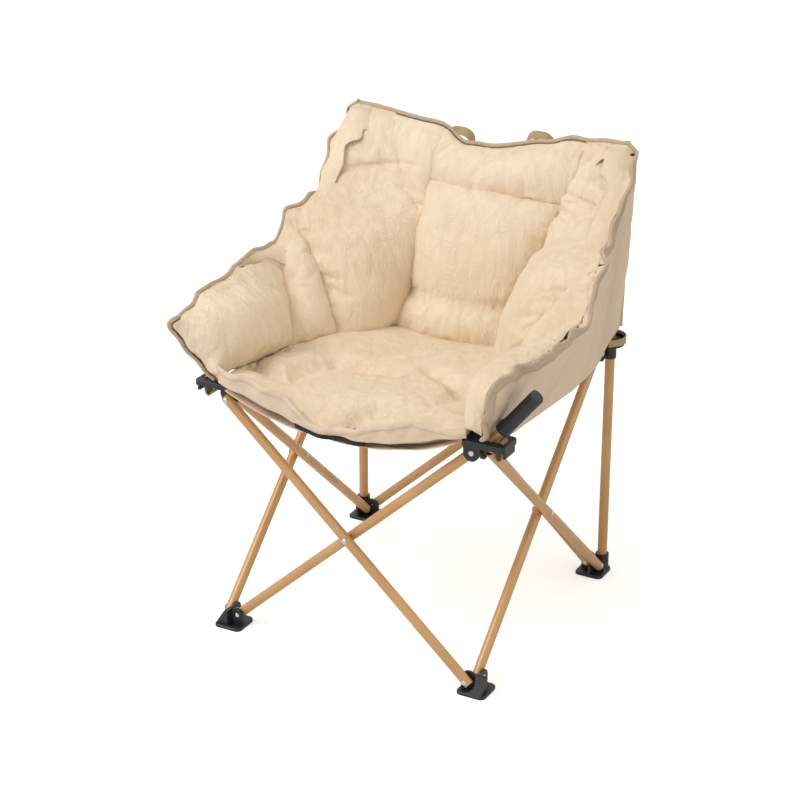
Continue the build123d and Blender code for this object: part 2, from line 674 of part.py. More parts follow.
def make_front_arm(out):
    """Front arm pad: drawn in at its sloped front edge and at the crease behind it."""
    foot, top = ARM_FRONT
    back_foot, back_top = ARM_CREASE
    with BuildPart() as pad:
        loft(
            sections=(
                pad_section(spot(out, foot), spot(out, top), turned_in(out, 0), (14, 7), 3),
                pad_section(
                    spot(out, shifted(foot, 2, 34, -4)),
                    spot(out, shifted(top, 5, 40, 7)),
                    turned_in(out, 0),
                    (32, 12),
                    15,
                ),
                pad_section(
                    spot(out, shifted(foot, 2, 106, -16)),
                    spot(out, shifted(top, 6, 160, 8)),
                    turned_in(out, 0),
                    (38, 14),
                    16,
                ),
                pad_section(
                    spot(out, back_foot), spot(out, back_top), turned_in(out, 0), (34, 7), 3
                ),
            )
        )
        clear_of_seat()
    return pad.part


def make_rear_arm(out):
    """Rear arm pad: from the arm crease to the wing crease."""
    foot, top = ARM_CREASE
    back_foot, back_top = WING_CREASE
    with BuildPart() as pad:
        loft(
            sections=(
                pad_section(
                    spot(out, shifted(foot, 0, SEAM_GAP, 0)),
                    spot(out, shifted(top, 0, SEAM_GAP, 0)),
                    turned_in(out, 0),
                    (34, 7),
                    3,
                ),
                pad_section(
                    spot(out, shifted(foot, 3, 56, 0)),
                    spot(out, shifted(top, -2, 30, 30)),
                    turned_in(out, 14),
                    (66, 13),
                    18,
                ),
                pad_section(
                    spot(out, back_foot), spot(out, back_top), turned_in(out, 30), (92, 7), 3
                ),
            )
        )
        clear_of_seat()
    return pad.part


def seam_foot(seam):
    """Foot of the seam between the back and a wing."""
    return Vector(seam[0], CENTRE_Y + BACK_Y, PAD_FOOT)


def seam_top(seam):
    """Rim end of the seam between the back and a wing."""
    return Vector(seam[1], CENTRE_Y + BACK_Y + BACK_LEAN, RIM_TOP - 14)


WING_SHARES = (0, 0.17, 0.364, 0.5825, 0.801)  # lower sections, from the pad's foot to the crease's top
WING_RIM = ((0, 66), (0.155, 120), (0.328, 160), (0.638, 182), (1, 198))  # share above it, rim's place
WING_DRAW = 0.1  # how fast the rim of a wing draws in behind the crease


def wing_levels():
    """Heights of a wing's sections, each with the rim's place where it lies over the crease."""
    top = WING_CREASE[1][2]
    lower = [(PAD_FOOT + (top - PAD_FOOT) * share, None) for share in WING_SHARES]
    return lower + [(top + (RIM_TOP - WING_DROP - top) * share, place) for share, place in WING_RIM]


def wing_level(out, seam, z, place):
    """Level section of a wing: canvas side, cut corner by the upright, seam, bulged face."""
    foot, top = WING_CREASE
    rise = min(1, (z - PAD_FOOT) / (top[2] - PAD_FOOT))
    share = (z - PAD_FOOT) / (RIM_TOP - 14 - PAD_FOOT)
    puff = 4 * rise * (1 - rise)
    outer_x = foot[0] + (top[0] - foot[0]) * rise
    rim_y = foot[1] + (top[1] - foot[1]) * rise + SEAM_GAP
    if place is not None:
        rim_y = place + SEAM_GAP
        outer_x = top[0] - (place - top[1]) * WING_DRAW
    depth = 92 + (9 - 92) * rise
    crease_x = outer_x - depth * cos(radians(30))
    crease_y = rim_y - depth * sin(radians(30))
    seam_x = seam[0] + (seam[1] - seam[0]) * share + out * SEAM_GAP
    seam_y = BACK_Y - 115 + (115 - 10) * share
    middle_x = (crease_x + abs(seam_x)) / 2 - 10 - 12 * puff
    middle_y = (crease_y + seam_y) / 2 - 6 - 22 * puff
    if rise == 1:
        middle_x = crease_x - (crease_x - abs(seam_x)) * 0.25
        middle_y = seam_y - (seam_y - crease_y) * 0.32
    with BuildSketch(level(z)) as section:
        with BuildLine():
            Polyline(
                (out * crease_x, crease_y),
                (out * outer_x, rim_y),
                (out * BACK_Y, BACK_Y - 31),
                (out * (BACK_Y - 31), BACK_Y),
                (seam_x, BACK_Y),
                (seam_x, seam_y),
            )
            ThreePointArc((seam_x, seam_y), (out * middle_x, middle_y), (out * crease_x, crease_y))
        make_face()
    return section.sketch


def make_wing(out, seam):
    """Back wing: from the wing crease round the upright's corner to the back's seam."""
    with BuildPart() as pad:
        loft(sections=[wing_level(out, seam, z, place) for z, place in wing_levels()], ruled=True)
        with BuildSketch(Plane.XY.offset(PAD_FOOT - 1)) as pocket:
            with Locations((out * UPRIGHT_XY, CENTRE_Y + UPRIGHT_XY)):
                Rectangle(80, 80)
        extrude(pocket.sketch, amount=DECK_Z + DISC_T + 12 - PAD_FOOT, mode=Mode.SUBTRACT)
        clear_of_seat()
    return pad.part


for out, side in ((1, "right"), (-1, "left")):
    save(make_front_arm(out), f"{side}_front_arm_pad")
    save(make_rear_arm(out), f"{side}_rear_arm_pad")
save(make_wing(1, RIGHT_SEAM), "right_wing_pad")
save(make_wing(-1, LEFT_SEAM), "left_wing_pad")


def seam_point(seam, z):
    """Point on a seam's canvas side at a height."""
    foot, top = seam_foot(seam), seam_top(seam)
    return foot + (top - foot) * ((z - foot.Z) / (top.Z - foot.Z))


forward_in = turned_in(1, 90)
inset = Vector(SEAM_GAP / 2, 0, 0)
with BuildPart() as back_cushion:
    left_foot, right_foot = seam_foot(LEFT_SEAM) + inset, seam_foot(RIGHT_SEAM) - inset
    left_top = seam_point(LEFT_SEAM, HEADREST_Z - SEAT_GAP) + inset
    right_top = seam_point(RIGHT_SEAM, HEADREST_Z - SEAT_GAP) - inset
    crease = LUMBAR_Z - PAD_FOOT
    loft(
        sections=(
            roll_section(left_foot, left_top, forward_in, (115, 34), crease, 4),
            roll_section(
                between(left_foot, right_foot, 0.5),
                between(left_top, right_top, 0.5),
                forward_in,
                (128, 42),
                crease,
                15,
            ),
            roll_section(right_foot, right_top, forward_in, (115, 34), crease, 4),
        )
    )
    clear_of_seat()

save(back_cushion.part, "back_cushion")

with BuildPart() as headrest:
    left_foot = seam_point(LEFT_SEAM, HEADREST_Z) + inset
    right_foot = seam_point(RIGHT_SEAM, HEADREST_Z) - inset
    left_top = seam_point(LEFT_SEAM, RIM_TOP - 14) + inset
    right_top = seam_point(RIGHT_SEAM, RIM_TOP - 6) - inset
    loft(
        sections=(
            pad_section(left_foot, left_top, forward_in, (34, 8), 6),
            pad_section(
                between(left_foot, right_foot, 0.3),
                between(left_top, right_top, 0.3) - Vector(0, 0, 24),
                forward_in,
                (40, 9),
                14,
            ),
            pad_section(
                between(left_foot, right_foot, 0.65),
                between(left_top, right_top, 0.65) - Vector(0, 0, 10),
                forward_in,
                (42, 9),
                16,
            ),
            pad_section(right_foot, right_top, forward_in, (34, 8), 6),
        )
    )

save(headrest.part, "headrest")


# ---------------------------------------------------------------- the canvas shell
def canvas_section(out, foot, top, inward):
    """A strip's section on one side of the tub: the canvas lies outside the line foot to top."""
    start, end = spot(out, foot), spot(out, top)
    length = (end - start).length
    with BuildSketch(station(start, end, inward)) as section:
        with Locations((-CANVAS_T / 2, length / 2)):
            Rectangle(CANVAS_T, length)
    return section.sketch


def open_for_horn(out):
    """Cut a window in a side canvas, through which the horn of the upright's cap stands out."""
    with BuildSketch(Plane.XY.offset(UPRIGHT_TOP + CAP_OVER - CAP_HORN_T - 4)) as opening:
        with Locations((out * (UPRIGHT_XY + CAP_HORN / 2), CENTRE_Y + UPRIGHT_XY)):
            Rectangle(CAP_HORN + 6, CAP_D * 0.8)
    extrude(opening.sketch, amount=CAP_HORN_T + 6, mode=Mode.SUBTRACT)


def rear_rim(share):
    """Height of the rim on a share of its climb from the wing crease to the rear corners."""
    crease_top = WING_CREASE[1][2]
    return crease_top + (RIM_TOP - crease_top) * share + HEM_STAND


SIDE_STATIONS = (
    ((229, -241, CANVAS_FRONT_FOOT + 2), (270, -301, 541 + HEM_STAND), 0),
    ((232, -204, CANVAS_FRONT_FOOT), (275, -258, 549 + HEM_STAND), 0),
    ((232, -180, CANVAS_FRONT_FOOT - 2), (276, -215, 549 + HEM_STAND), 0),
    ((230, -150, CANVAS_FOOT + 5), (277, -170, 549 + HEM_STAND), 0),
    ((229, -100, CANVAS_FOOT), (277, -100, 549 + HEM_STAND), 0),
    ((233, -45, CANVAS_FOOT), (276, 10, 550 + HEM_STAND), 0),
    ((237, 10, CANVAS_FOOT), (275, 40, 582 + HEM_STAND), 0),
    ((240, 62, CANVAS_FOOT), (270, 68, rear_rim(0)), 0),
    ((241, 112, CANVAS_FOOT + 2), (265, 116, rear_rim(0.1)), 0),
    ((241, 154, CANVAS_FOOT + 8), (263, 158, rear_rim(0.24)), 0),
    ((242, 192, CANVAS_FOOT + 31), (265, 196, rear_rim(0.72)), 0),
    ((242, 222, CANVAS_FOOT + 39), (262, 226, rear_rim(0.95)), 0),
    ((242, 240, CANVAS_FOOT + 44), (247, 242, rear_rim(1.045)), 0),
)


def make_side_canvas(out):
    """Side panel of the shell, from the front edge back to the upright."""
    with BuildPart() as panel:
        loft(
            sections=[
                canvas_section(out, foot, top, turned_in(out, angle))
                for foot, top, angle in SIDE_STATIONS
            ],
            ruled=True,
        )
        open_for_horn(out)
    return panel.part


save(make_side_canvas(1), "right_side_canvas")
save(make_side_canvas(-1), "left_side_canvas")


def upright_strip(x, behind, low, high, thickness):
    """Section of a strip that runs across the chair: it grows away from the tub."""
    facing = 1 if behind > 0 else -1
    with BuildSketch(long_section(x)) as section:
        with Locations((behind + facing * thickness / 2, (low + high) / 2)):
            Rectangle(thickness, high - low)
    return section.sketch


BACK_STATIONS = (
    (-240, 243, 446, RIM_TOP + 14),
    (-160, 246, 428, RIM_TOP + 2),
    (-82, 249, 408, RIM_TOP - 8),
    (-38, 250, 403, RIM_TOP - 32),
    (20, 250, 402, RIM_TOP - 27),
    (64, 249, 404, RIM_TOP - 15),
    (150, 246, 426, RIM_TOP + 5),
    (240, 243, 446, RIM_TOP + 14),
)
with BuildPart() as back_canvas:
    loft(sections=[upright_strip(*place, CANVAS_T) for place in BACK_STATIONS], ruled=True)

save(back_canvas.part, "back_canvas")

BAND_STATIONS = (
    (-214, -BAND_Y + 7, 441, 466),
    (-172, -BAND_Y, 430, 460),
    (-85, -BAND_Y, 407, 434),
    (-25, -BAND_Y - 2, 401, 415),
    (45, -BAND_Y - 2, 402, 425),
    (110, -BAND_Y, 411, 444),
    (160, -BAND_Y, 425, 448),
    (214, -BAND_Y + 7, 442, 460),
)
with BuildPart() as front_band:
    loft(sections=[upright_strip(*place, CANVAS_T) for place in BAND_STATIONS])

save(front_band.part, "front_band")

with BuildPart() as binding:
    loft(
        sections=[
            upright_strip(x, behind, low - BINDING_H, low - SEAT_GAP, CANVAS_T / 2)
            for x, behind, low, high in BAND_STATIONS[2:6]
        ]
    )

save(binding.part, "band_binding")


def under_section(behind, half_w, mid_z, side_z):
    """Section of the seat's canvas: it hangs under the cushion's bellied underside."""
    with BuildSketch(cross_section(behind)) as section:
        with BuildLine():
            ThreePointArc((-half_w, side_z), (0, mid_z), (half_w, side_z))
            Line((half_w, side_z), (half_w, side_z - CANVAS_T))
            ThreePointArc((half_w, side_z - CANVAS_T), (0, mid_z - CANVAS_T), (-half_w, side_z - CANVAS_T))
            Line((-half_w, side_z - CANVAS_T), (-half_w, side_z))
        make_face()
    return section.sketch


with BuildPart() as seat_canvas:
    loft(
        sections=(
            under_section(-SEAT_FRONT, SEAT_HALF_W - 6, SEAT_MID_Z - 29, SEAT_SIDE_Z - 23),
            under_section(-SEAT_FRONT + 24, SEAT_HALF_W - 4, SEAT_MID_Z - 35, SEAT_SIDE_Z - 27),
            under_section(-SEAT_FRONT / 2, SEAT_HALF_W, SEAT_MID_Z - 41, SEAT_SIDE_Z - 36),
            under_section(0, SEAT_HALF_W, SEAT_MID_Z - 48, SEAT_SIDE_Z - 45),
            under_section(SEAT_REAR, SEAT_HALF_W - 4, SEAT_BACK_Z - 46, SEAT_BACK_Z - 29),
        )
    )

save(seat_canvas.part, "seat_canvas")

with BuildPart() as carry_loops:
    for x, behind, over in LOOP_SPOTS:
        rim_z = RIM_TOP + over
        with BuildSketch(cross_section(behind)) as arch:
            with BuildLine():
                ThreePointArc((x - LOOP_W / 2, rim_z), (x, rim_z + LOOP_H), (x + LOOP_W / 2, rim_z))
                Line((x + LOOP_W / 2, rim_z), (x + LOOP_W / 2 - WEB_T, rim_z))
                ThreePointArc(
                    (x + LOOP_W / 2 - WEB_T, rim_z),
                    (x, rim_z + LOOP_H - WEB_T),
                    (x - LOOP_W / 2 + WEB_T, rim_z),
                )
                Line((x - LOOP_W / 2 + WEB_T, rim_z), (x - LOOP_W / 2, rim_z))
            make_face()
        extrude(arch.sketch, amount=-WEB_W * 0.6)

save(carry_loops.part, "carry_loops")
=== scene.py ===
"""Looks of the folding padded club chair: cloth tub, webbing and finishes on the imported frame.

Metres, +Z up, the sitter looks along -Y. Places in the tub are given as (outboard, behind,
height), where outboard and behind are counted from the middle of the square of legs.
"""
import logging
import math
import random
from dataclasses import dataclass
from enum import Enum
from functools import partial
from typing import Callable, Sequence

import bmesh
import bpy
import numpy as np
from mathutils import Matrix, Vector, bvhtree, kdtree, noise


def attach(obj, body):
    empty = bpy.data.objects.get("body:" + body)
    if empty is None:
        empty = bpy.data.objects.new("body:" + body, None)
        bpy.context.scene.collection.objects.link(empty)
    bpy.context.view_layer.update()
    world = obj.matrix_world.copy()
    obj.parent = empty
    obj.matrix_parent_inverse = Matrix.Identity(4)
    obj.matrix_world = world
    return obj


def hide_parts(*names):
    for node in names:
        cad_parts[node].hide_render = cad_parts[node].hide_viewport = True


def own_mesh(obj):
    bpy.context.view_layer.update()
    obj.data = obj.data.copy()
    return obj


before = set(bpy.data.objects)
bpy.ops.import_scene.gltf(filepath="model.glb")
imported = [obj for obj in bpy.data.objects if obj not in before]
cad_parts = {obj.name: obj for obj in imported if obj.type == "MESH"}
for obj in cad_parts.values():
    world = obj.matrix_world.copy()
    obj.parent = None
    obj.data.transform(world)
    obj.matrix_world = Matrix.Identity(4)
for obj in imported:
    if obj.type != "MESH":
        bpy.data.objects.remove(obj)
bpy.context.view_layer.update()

log = logging.getLogger("club_chair")

# ---------------------------------------------------------------- shared sizes, in metres
CENTRE_Y = 0.017  # middle of the square of legs, behind the origin
CORNER = 0.2315  # an upright's axis, from the middle, both ways
PIVOT = 0.210  # corner pivots, from the middle, both ways
CANVAS_T = 0.0016
HEM_W = 0.021
EDGE_PITCH = 0.004  # from point to point along the edge of a cloth
WELD = 0.00002  # points of a solid that lie closer than this are one
VOXEL = 0.005  # mesh size of a pad as it starts to swell
SWELL_FRAMES = 20
PRESSURE = 4.0  # of the stuffing
LOOSENESS = 0.05  # extra cloth of a pad, as a share of its size
PLUMP = 0.0035
GATHER = 0.0026
GATHER_WAVES = ((62, 0.7), (135, 0.45))  # how fine the folds at the seams are, and their shares
GATHER_REACH = 0.030
GATHER_START = 0.004
SEAM_ANGLE = 0.6  # radians: sharper edges of a solid are seams
SEAM_PITCH = 0.003
MEET_SHARE = 0.97  # how nearly a pad's border reaches the edge that it is sewn into
PUCKER_REACH = 0.022
RUMPLE = 0.0016
CREASE = 0.0010

Place = tuple[float, float, float]
Track = Callable[[np.ndarray], np.ndarray]
Colour = tuple[int, int, int]
Seam = tuple[np.ndarray, np.ndarray]  # points and the ways that the cloth faces there


class Side(Enum):
    """The sitter's left and right sides of the chair, as the sign of X."""

    LEFT = -1
    RIGHT = 1

    @property
    def word(self) -> str:
        """The side's word in the names of pieces."""
        return self.name.lower()

    def spot(self, place: Place) -> Vector:
        """A tub place on this side as a point of the model."""
        return Vector((self.value * place[0], CENTRE_Y + place[1], place[2]))


@dataclass(frozen=True)
class Hang:
    """How a soft piece goes with the folding frame.

    body is the part it rides on. axis, anchor and keep are not used.
    """

    body: str
    axis: Place
    anchor: Place
    keep: float

    def carry(self, piece: bpy.types.Object) -> None:
        """Let a finished piece ride on its body."""
        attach(piece, self.body)
        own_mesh(piece)


BACK_HANG = Hang("rear_left_post", (1, 0, 0), (-CORNER, 0, 0), 0.413)
RIGHT_BACK_HANG = Hang("rear_right_post", (1, 0, 0), (CORNER, 0, 0), 0.413)
SEAT_HANG = Hang("seat", (1, 0, 0), (-PIVOT, 0, 0), 0.357)
BAND_HANG = Hang("front_left_hub", (1, 0, 0), (-PIVOT, 0, 0), 0.357)
ARM_HANGS = {
    side: Hang(f"rear_{side.word}_post", (0, 1, 0), (0, CENTRE_Y + CORNER, 0), 0.384)
    for side in Side
}
WING_HANGS = {Side.LEFT: BACK_HANG, Side.RIGHT: RIGHT_BACK_HANG}


# ---------------------------------------------------------------- small tools
def run_length(points: np.ndarray) -> np.ndarray:
    """How far along a line each of its points lies."""
    return np.concatenate([[0.0], np.cumsum(np.linalg.norm(np.diff(points, axis=0), axis=1))])


def curve_rows(
    knots: np.ndarray, values: np.ndarray, tangent: np.ndarray, places: np.ndarray
) -> np.ndarray:
    """Rows at places on the Hermite curve through values, with a tangent at each knot."""
    places = np.clip(np.asarray(places, float), knots[0], knots[-1])
    step = np.diff(knots)
    index = np.clip(np.searchsorted(knots, places, side="right") - 1, 0, len(step) - 1)
    share = ((places - knots[index]) / step[index])[..., None]
    width = step[index][..., None]
    rise, square = share**3, share**2
    return (
        values[index] * (2 * rise - 3 * square + 1)
        + tangent[index] * width * (rise - 2 * square + share)
        + values[index + 1] * (3 * square - 2 * rise)
        + tangent[index + 1] * width * (rise - square)
    )


def smooth_track(knots: np.ndarray, values: np.ndarray) -> Track:
    """A smooth line through values that never swings past them.

    Args:
        knots: Rising places along the line.
        values: One row for each knot.

    Returns:
        A function from places to rows.
    """
    slope = np.diff(values, axis=0) / np.diff(knots)[:, None]
    tangent = np.zeros_like(values)
    tangent[0], tangent[-1] = slope[0], slope[-1]
    before, after = slope[:-1], slope[1:]
    same = before * after > 0
    total = np.where(same, before + after, 1.0)
    tangent[1:-1] = np.where(same, 2 * before * after / total, 0.0)
    return partial(curve_rows, knots, values, tangent)


def smooth_path(points: Sequence[Sequence[float]], pitch: float = 0.0015) -> np.ndarray:
    """Evenly spaced points on a smooth line through a few places."""
    rows = np.array([tuple(point) for point in points], float)
    knots = run_length(rows)
    places = np.linspace(0, knots[-1], max(8, int(knots[-1] / pitch)))
    return curve_rows(knots, rows, np.gradient(rows, knots, axis=0), places)


@dataclass(frozen=True)
class Ripple:
    """An uneven wave along a line: sines of several lengths with seeded phases."""

    seed: int
    height: float
    lengths: tuple[float, ...]

    def __call__(self, places: np.ndarray) -> np.ndarray:
        """The wave's height at the places."""
        draw = random.Random(self.seed)
        total = np.zeros_like(np.asarray(places, float))
        for length in self.lengths:
            phase, share = draw.uniform(0, math.tau), draw.uniform(0.7, 1.2)
            total = total + share * np.sin(math.tau * places / length + phase)
        return self.height * total / math.sqrt(len(self.lengths))


def unit(rows: np.ndarray) -> np.ndarray:
    """Rows scaled to length one."""
    return rows / np.maximum(np.linalg.norm(rows, axis=-1, keepdims=True), 1e-9)


def link(piece: bpy.types.Object) -> bpy.types.Object:
    """Put a new object into the scene."""
    bpy.context.scene.collection.objects.link(piece)
    return piece


def tree_of(points: np.ndarray) -> kdtree.KDTree:
    """Points set up for finding the nearest of them."""
    tree = kdtree.KDTree(len(points))
    for index, point in enumerate(points):
        tree.insert(point, index)
    tree.balance()
    return tree


def welded(mesh: bpy.types.Mesh) -> bmesh.types.BMesh:
    """A solid's mesh ready for editing, with the points that its faces share joined."""
    work = bmesh.new()
    work.from_mesh(mesh)
    bmesh.ops.remove_doubles(work, verts=work.verts, dist=WELD)
    return work


def dress(
    piece: bpy.types.Object, material: bpy.types.Material, nodes: Sequence[str] = ()
) -> None:
    """Give a finished piece its material and the solids that it stands for."""
    piece.data.materials.clear()
    piece.data.materials.append(material)
    if nodes:
        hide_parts(*nodes)
    log.info("%s: %d faces", piece.name, len(piece.data.polygons))


def mesh_piece(
    name: str, points: np.ndarray, faces: Sequence[Sequence[int]], flat: np.ndarray | None = None
) -> bpy.types.Object:
    """A smooth shaded mesh object at the origin.

    Args:
        name: The piece's name.
        points: Its vertices.
        faces: Its faces as rows of vertex numbers.
        flat: A place on the flat cloth for each vertex, in metres, kept as its UV map.

    Returns:
        The linked object.
    """
    mesh = bpy.data.meshes.new(name)
    mesh.from_pydata([tuple(row) for row in points], [], [tuple(face) for face in faces])
    if flat is not None:
        layer = mesh.uv_layers.new(name="cloth")
        corners = np.empty(len(mesh.loops), int)
        mesh.loops.foreach_get("vertex_index", corners)
        layer.data.foreach_set("uv", flat[corners].astype(np.float32).ravel())
    mesh.polygons.foreach_set("use_smooth", [True] * len(mesh.polygons))
    mesh.update()
    return link(bpy.data.objects.new(name, mesh))


def settle(piece: bpy.types.Object) -> bpy.types.Object:
    """Turn a piece's modifiers into plain mesh."""
    graph = bpy.context.evaluated_depsgraph_get()
    result = bpy.data.meshes.new_from_object(
        piece.evaluated_get(graph), preserve_all_data_layers=True, depsgraph=graph
    )
    piece.modifiers.clear()
    old, piece.data = piece.data, result
    result.name = piece.name
    bpy.data.meshes.remove(old)
    return piece


def sheet_of_cloth(
    name: str, front: np.ndarray, back: np.ndarray, flat: np.ndarray
) -> bpy.types.Object:
    """A closed sheet between two grids of points.

    Args:
        name: The piece's name.
        front: Points of its outer face, rows along the cloth and columns down it.
        back: Points of its inner face, in the same grid.
        flat: The grid's places on the flat cloth, in metres.

    Returns:
        The linked object, with its faces pointing outwards.
    """
    rows, columns = front.shape[:2]
    points = np.concatenate([front.reshape(-1, 3), back.reshape(-1, 3)])
    places = np.concatenate([flat.reshape(-1, 2)] * 2)
    second = rows * columns
    faces = []
    for row in range(rows - 1):
        for column in range(columns - 1):
            first = row * columns + column
            ring = (first, first + columns, first + columns + 1, first + 1)
            faces.append(ring)
            faces.append(tuple(corner + second for corner in reversed(ring)))
    edge = [row * columns for row in range(rows)]
    edge += [(rows - 1) * columns + column for column in range(1, columns)]
    edge += [row * columns + columns - 1 for row in range(rows - 2, -1, -1)]
    edge += [column for column in range(columns - 2, 0, -1)]
    for start, end in zip(edge, edge[1:] + edge[:1]):
        faces.append((end, start, start + second, end + second))
    piece = mesh_piece(name, points, faces, places)
    mend_normals(piece)
    return piece


def strip_round(name: str, rings: np.ndarray, flat: np.ndarray) -> bpy.types.Object:
    """A closed band lofted through rings of points, with capped ends.

    Args:
        name: The piece's name.
        rings: One closed ring of points for each place along the band.
        flat: The same points' places on the flat cloth, in metres.

    Returns:
        The linked object, with its faces pointing outwards.
    """
    count, size = rings.shape[:2]
    faces = []
    for row in range(count - 1):
        for column in range(size):
            after = (column + 1) % size
            first, second = row * size, (row + 1) * size
            faces.append((first + column, first + after, second + after, second + column))
    faces.append(tuple(range(size - 1, -1, -1)))
    faces.append(tuple((count - 1) * size + column for column in range(size)))
    piece = mesh_piece(name, rings.reshape(-1, 3), faces, flat.reshape(-1, 2))
    mend_normals(piece)
    return piece


def mend_normals(piece: bpy.types.Object) -> None:
    """Point a closed mesh's faces outwards."""
    work = bmesh.new()
    work.from_mesh(piece.data)
    bmesh.ops.recalc_face_normals(work, faces=work.faces)
    work.to_mesh(piece.data)
    work.free()


# ---------------------------------------------------------------- finishes
def linear(colour: Colour) -> tuple[float, float, float, float]:
    """A screen colour as the shader's own linear one."""
    parts = [channel / 255 for channel in colour]
    return (*[p / 12.92 if p <= 0.04045 else ((p + 0.055) / 1.055) ** 2.4 for p in parts], 1.0)


class Board:
    """A node tree that is being filled, for a material or a group."""

    def __init__(self, tree: bpy.types.NodeTree) -> None:
        self.tree = tree

    def put(self, kind: str, settings: dict | None = None, **sockets: object) -> bpy.types.Node:
        """Add a node with its settings and its inputs."""
        node = self.tree.nodes.new(kind)
        for name, value in (settings or {}).items():
            setattr(node, name, value)
        self.wire(node, **sockets)
        return node

    def wire(self, node: bpy.types.Node, **sockets: object) -> None:
        """Set or wire a node's inputs by name, with underscores for spaces."""
        for name, value in sockets.items():
            self.feed(node.inputs[name.replace("_", " ")], value)

    def feed(self, socket: bpy.types.NodeSocket, value: object) -> None:
        """Wire a socket to another, or give it a plain value."""
        if isinstance(value, bpy.types.NodeSocket):
            self.tree.links.new(value, socket)
        else:
            socket.default_value = value

    def sum(self, operation: str, first: object, second: object = 0.0) -> bpy.types.NodeSocket:
        """A Math node's result."""
        node = self.put("ShaderNodeMath", {"operation": operation})
        self.feed(node.inputs[0], first)
        self.feed(node.inputs[1], second)
        return node.outputs[0]

    def times(self, first: object, second: object) -> bpy.types.NodeSocket:
        """Two values multiplied."""
        return self.sum("MULTIPLY", first, second)

    def blend(self, share: object, first: object, second: object) -> bpy.types.NodeSocket:
        """Mix two colours."""
        node = self.put("ShaderNodeMix", {"data_type": "RGBA"})
        for index, value in ((0, share), (6, first), (7, second)):
            self.feed(node.inputs[index], value)
        return node.outputs[2]

    def span(
        self, value: object, low: float, high: float, start: float = 0.0, end: float = 1.0
    ) -> bpy.types.NodeSocket:
        """Move a value from one range to another, kept inside it."""
        node = self.put("ShaderNodeMapRange")
        for index, number in enumerate((value, low, high, start, end)):
            self.feed(node.inputs[index], number)
        return node.outputs[0]

    def clouds(
        self, place: object, scale: float, detail: float, rough: float, bend: float = 0.0
    ) -> bpy.types.NodeSocket:
        """A Noise Texture's value."""
        sizes = {"Scale": scale, "Detail": detail, "Roughness": rough, "Distortion": bend}
        return self.put("ShaderNodeTexNoise", Vector=place, **sizes).outputs["Fac"]

    def group(self, tree: bpy.types.NodeTree, **sockets: object) -> bpy.types.NodeOutputs:
        """Add a shader group and give its outputs."""
        return self.put("ShaderNodeGroup", {"node_tree": tree}, **sockets).outputs

    def relief(self, shader: bpy.types.Node, height: object, distance: float) -> None:
        """Bump a shader's surface."""
        bump = self.put("ShaderNodeBump", Strength=1.0, Height=height, Distance=distance)
        self.wire(shader, Normal=bump.outputs[0])


def open_sockets(tree: bpy.types.NodeTree, way: str, kinds: dict[str, str]) -> None:
    """Give a group its named sockets; way is INPUT or OUTPUT."""
    for name, kind in kinds.items():
        tree.interface.new_socket(name=name, in_out=way, socket_type=f"NodeSocket{kind}")


def group_board(
    name: str, inputs: Sequence[str], outputs: Sequence[str]
) -> tuple[Board, bpy.types.NodeOutputs, bpy.types.Node]:
    """An empty shader group that takes a place and some numbers.

    Args:
        name: The group's name.
        inputs: Names of the numbers that go in.
        outputs: Names of the numbers that come out.

    Returns:
        The group's board, its inputs by name, and its output node.
    """
    board = Board(bpy.data.node_groups.new(name, "ShaderNodeTree"))
    open_sockets(board.tree, "INPUT", {"Place": "Vector", **dict.fromkeys(inputs, "Float")})
    open_sockets(board.tree, "OUTPUT", dict.fromkeys(outputs, "Float"))
    return board, board.put("NodeGroupInput").outputs, board.put("NodeGroupOutput")


def build_weave() -> bpy.types.NodeTree:
    """Plain weave: threads cross over and under, with slubs; height and thread tint."""
    board, given, sink = group_board(
        "plain_weave", ("Threads per metre", "Slub"), ("Height", "Tint")
    )
    scaled = board.put(
        "ShaderNodeVectorMath",
        {"operation": "SCALE"},
        Vector=given["Place"],
        Scale=given["Threads per metre"],
    )
    parts = board.put("ShaderNodeSeparateXYZ", Vector=scaled.outputs[0]).outputs
    across, along = (board.sum("SINE", board.times(parts[axis], math.pi)) for axis in (0, 1))
    over = board.span(board.times(across, along), -0.35, 0.35)
    warp = board.times(board.sum("ABSOLUTE", across), over)
    weft = board.times(board.sum("ABSOLUTE", along), board.sum("SUBTRACT", 1.0, over))
    stretched = board.put("ShaderNodeMapping", Vector=given["Place"], Scale=(1.0, 0.12, 1.0))
    slub = board.times(board.clouds(stretched.outputs[0], 420.0, 3.0, 0.6), given["Slub"])
    height = board.sum("ADD", board.sum("ADD", warp, weft), slub)
    board.wire(sink, Height=height, Tint=board.span(height, 0.2, 1.3))
    return board.tree


def build_nap() -> bpy.types.NodeTree:
    """Brushed cloth: short crossing wrinkles and fine nap, for a surface of any direction."""
    board, given, sink = group_board("brushed_nap", ("Crinkle",), ("Height", "Tint", "Patch"))
    place = given["Place"]
    upright = board.put("ShaderNodeMapping", Vector=place, Scale=(1.0, 1.0, 0.32))
    long_lines = board.clouds(upright.outputs[0], 55.0, 5.0, 0.62, 1.4)
    ridge = board.span(board.sum("ABSOLUTE", board.sum("SUBTRACT", long_lines, 0.5)), 0.0, 0.11)
    loose = board.clouds(place, 23.0, 6.0, 0.55, 0.8)
    nap = board.clouds(place, 1300.0, 2.0, 0.7)
    folds = board.sum("ADD", board.times(ridge, 0.35), loose)
    height = board.sum("ADD", board.times(folds, given["Crinkle"]), board.times(nap, 0.25))
    board.wire(sink, Height=height, Tint=nap, Patch=board.clouds(place, 7.0, 3.0, 0.55, 0.4))
    return board.tree


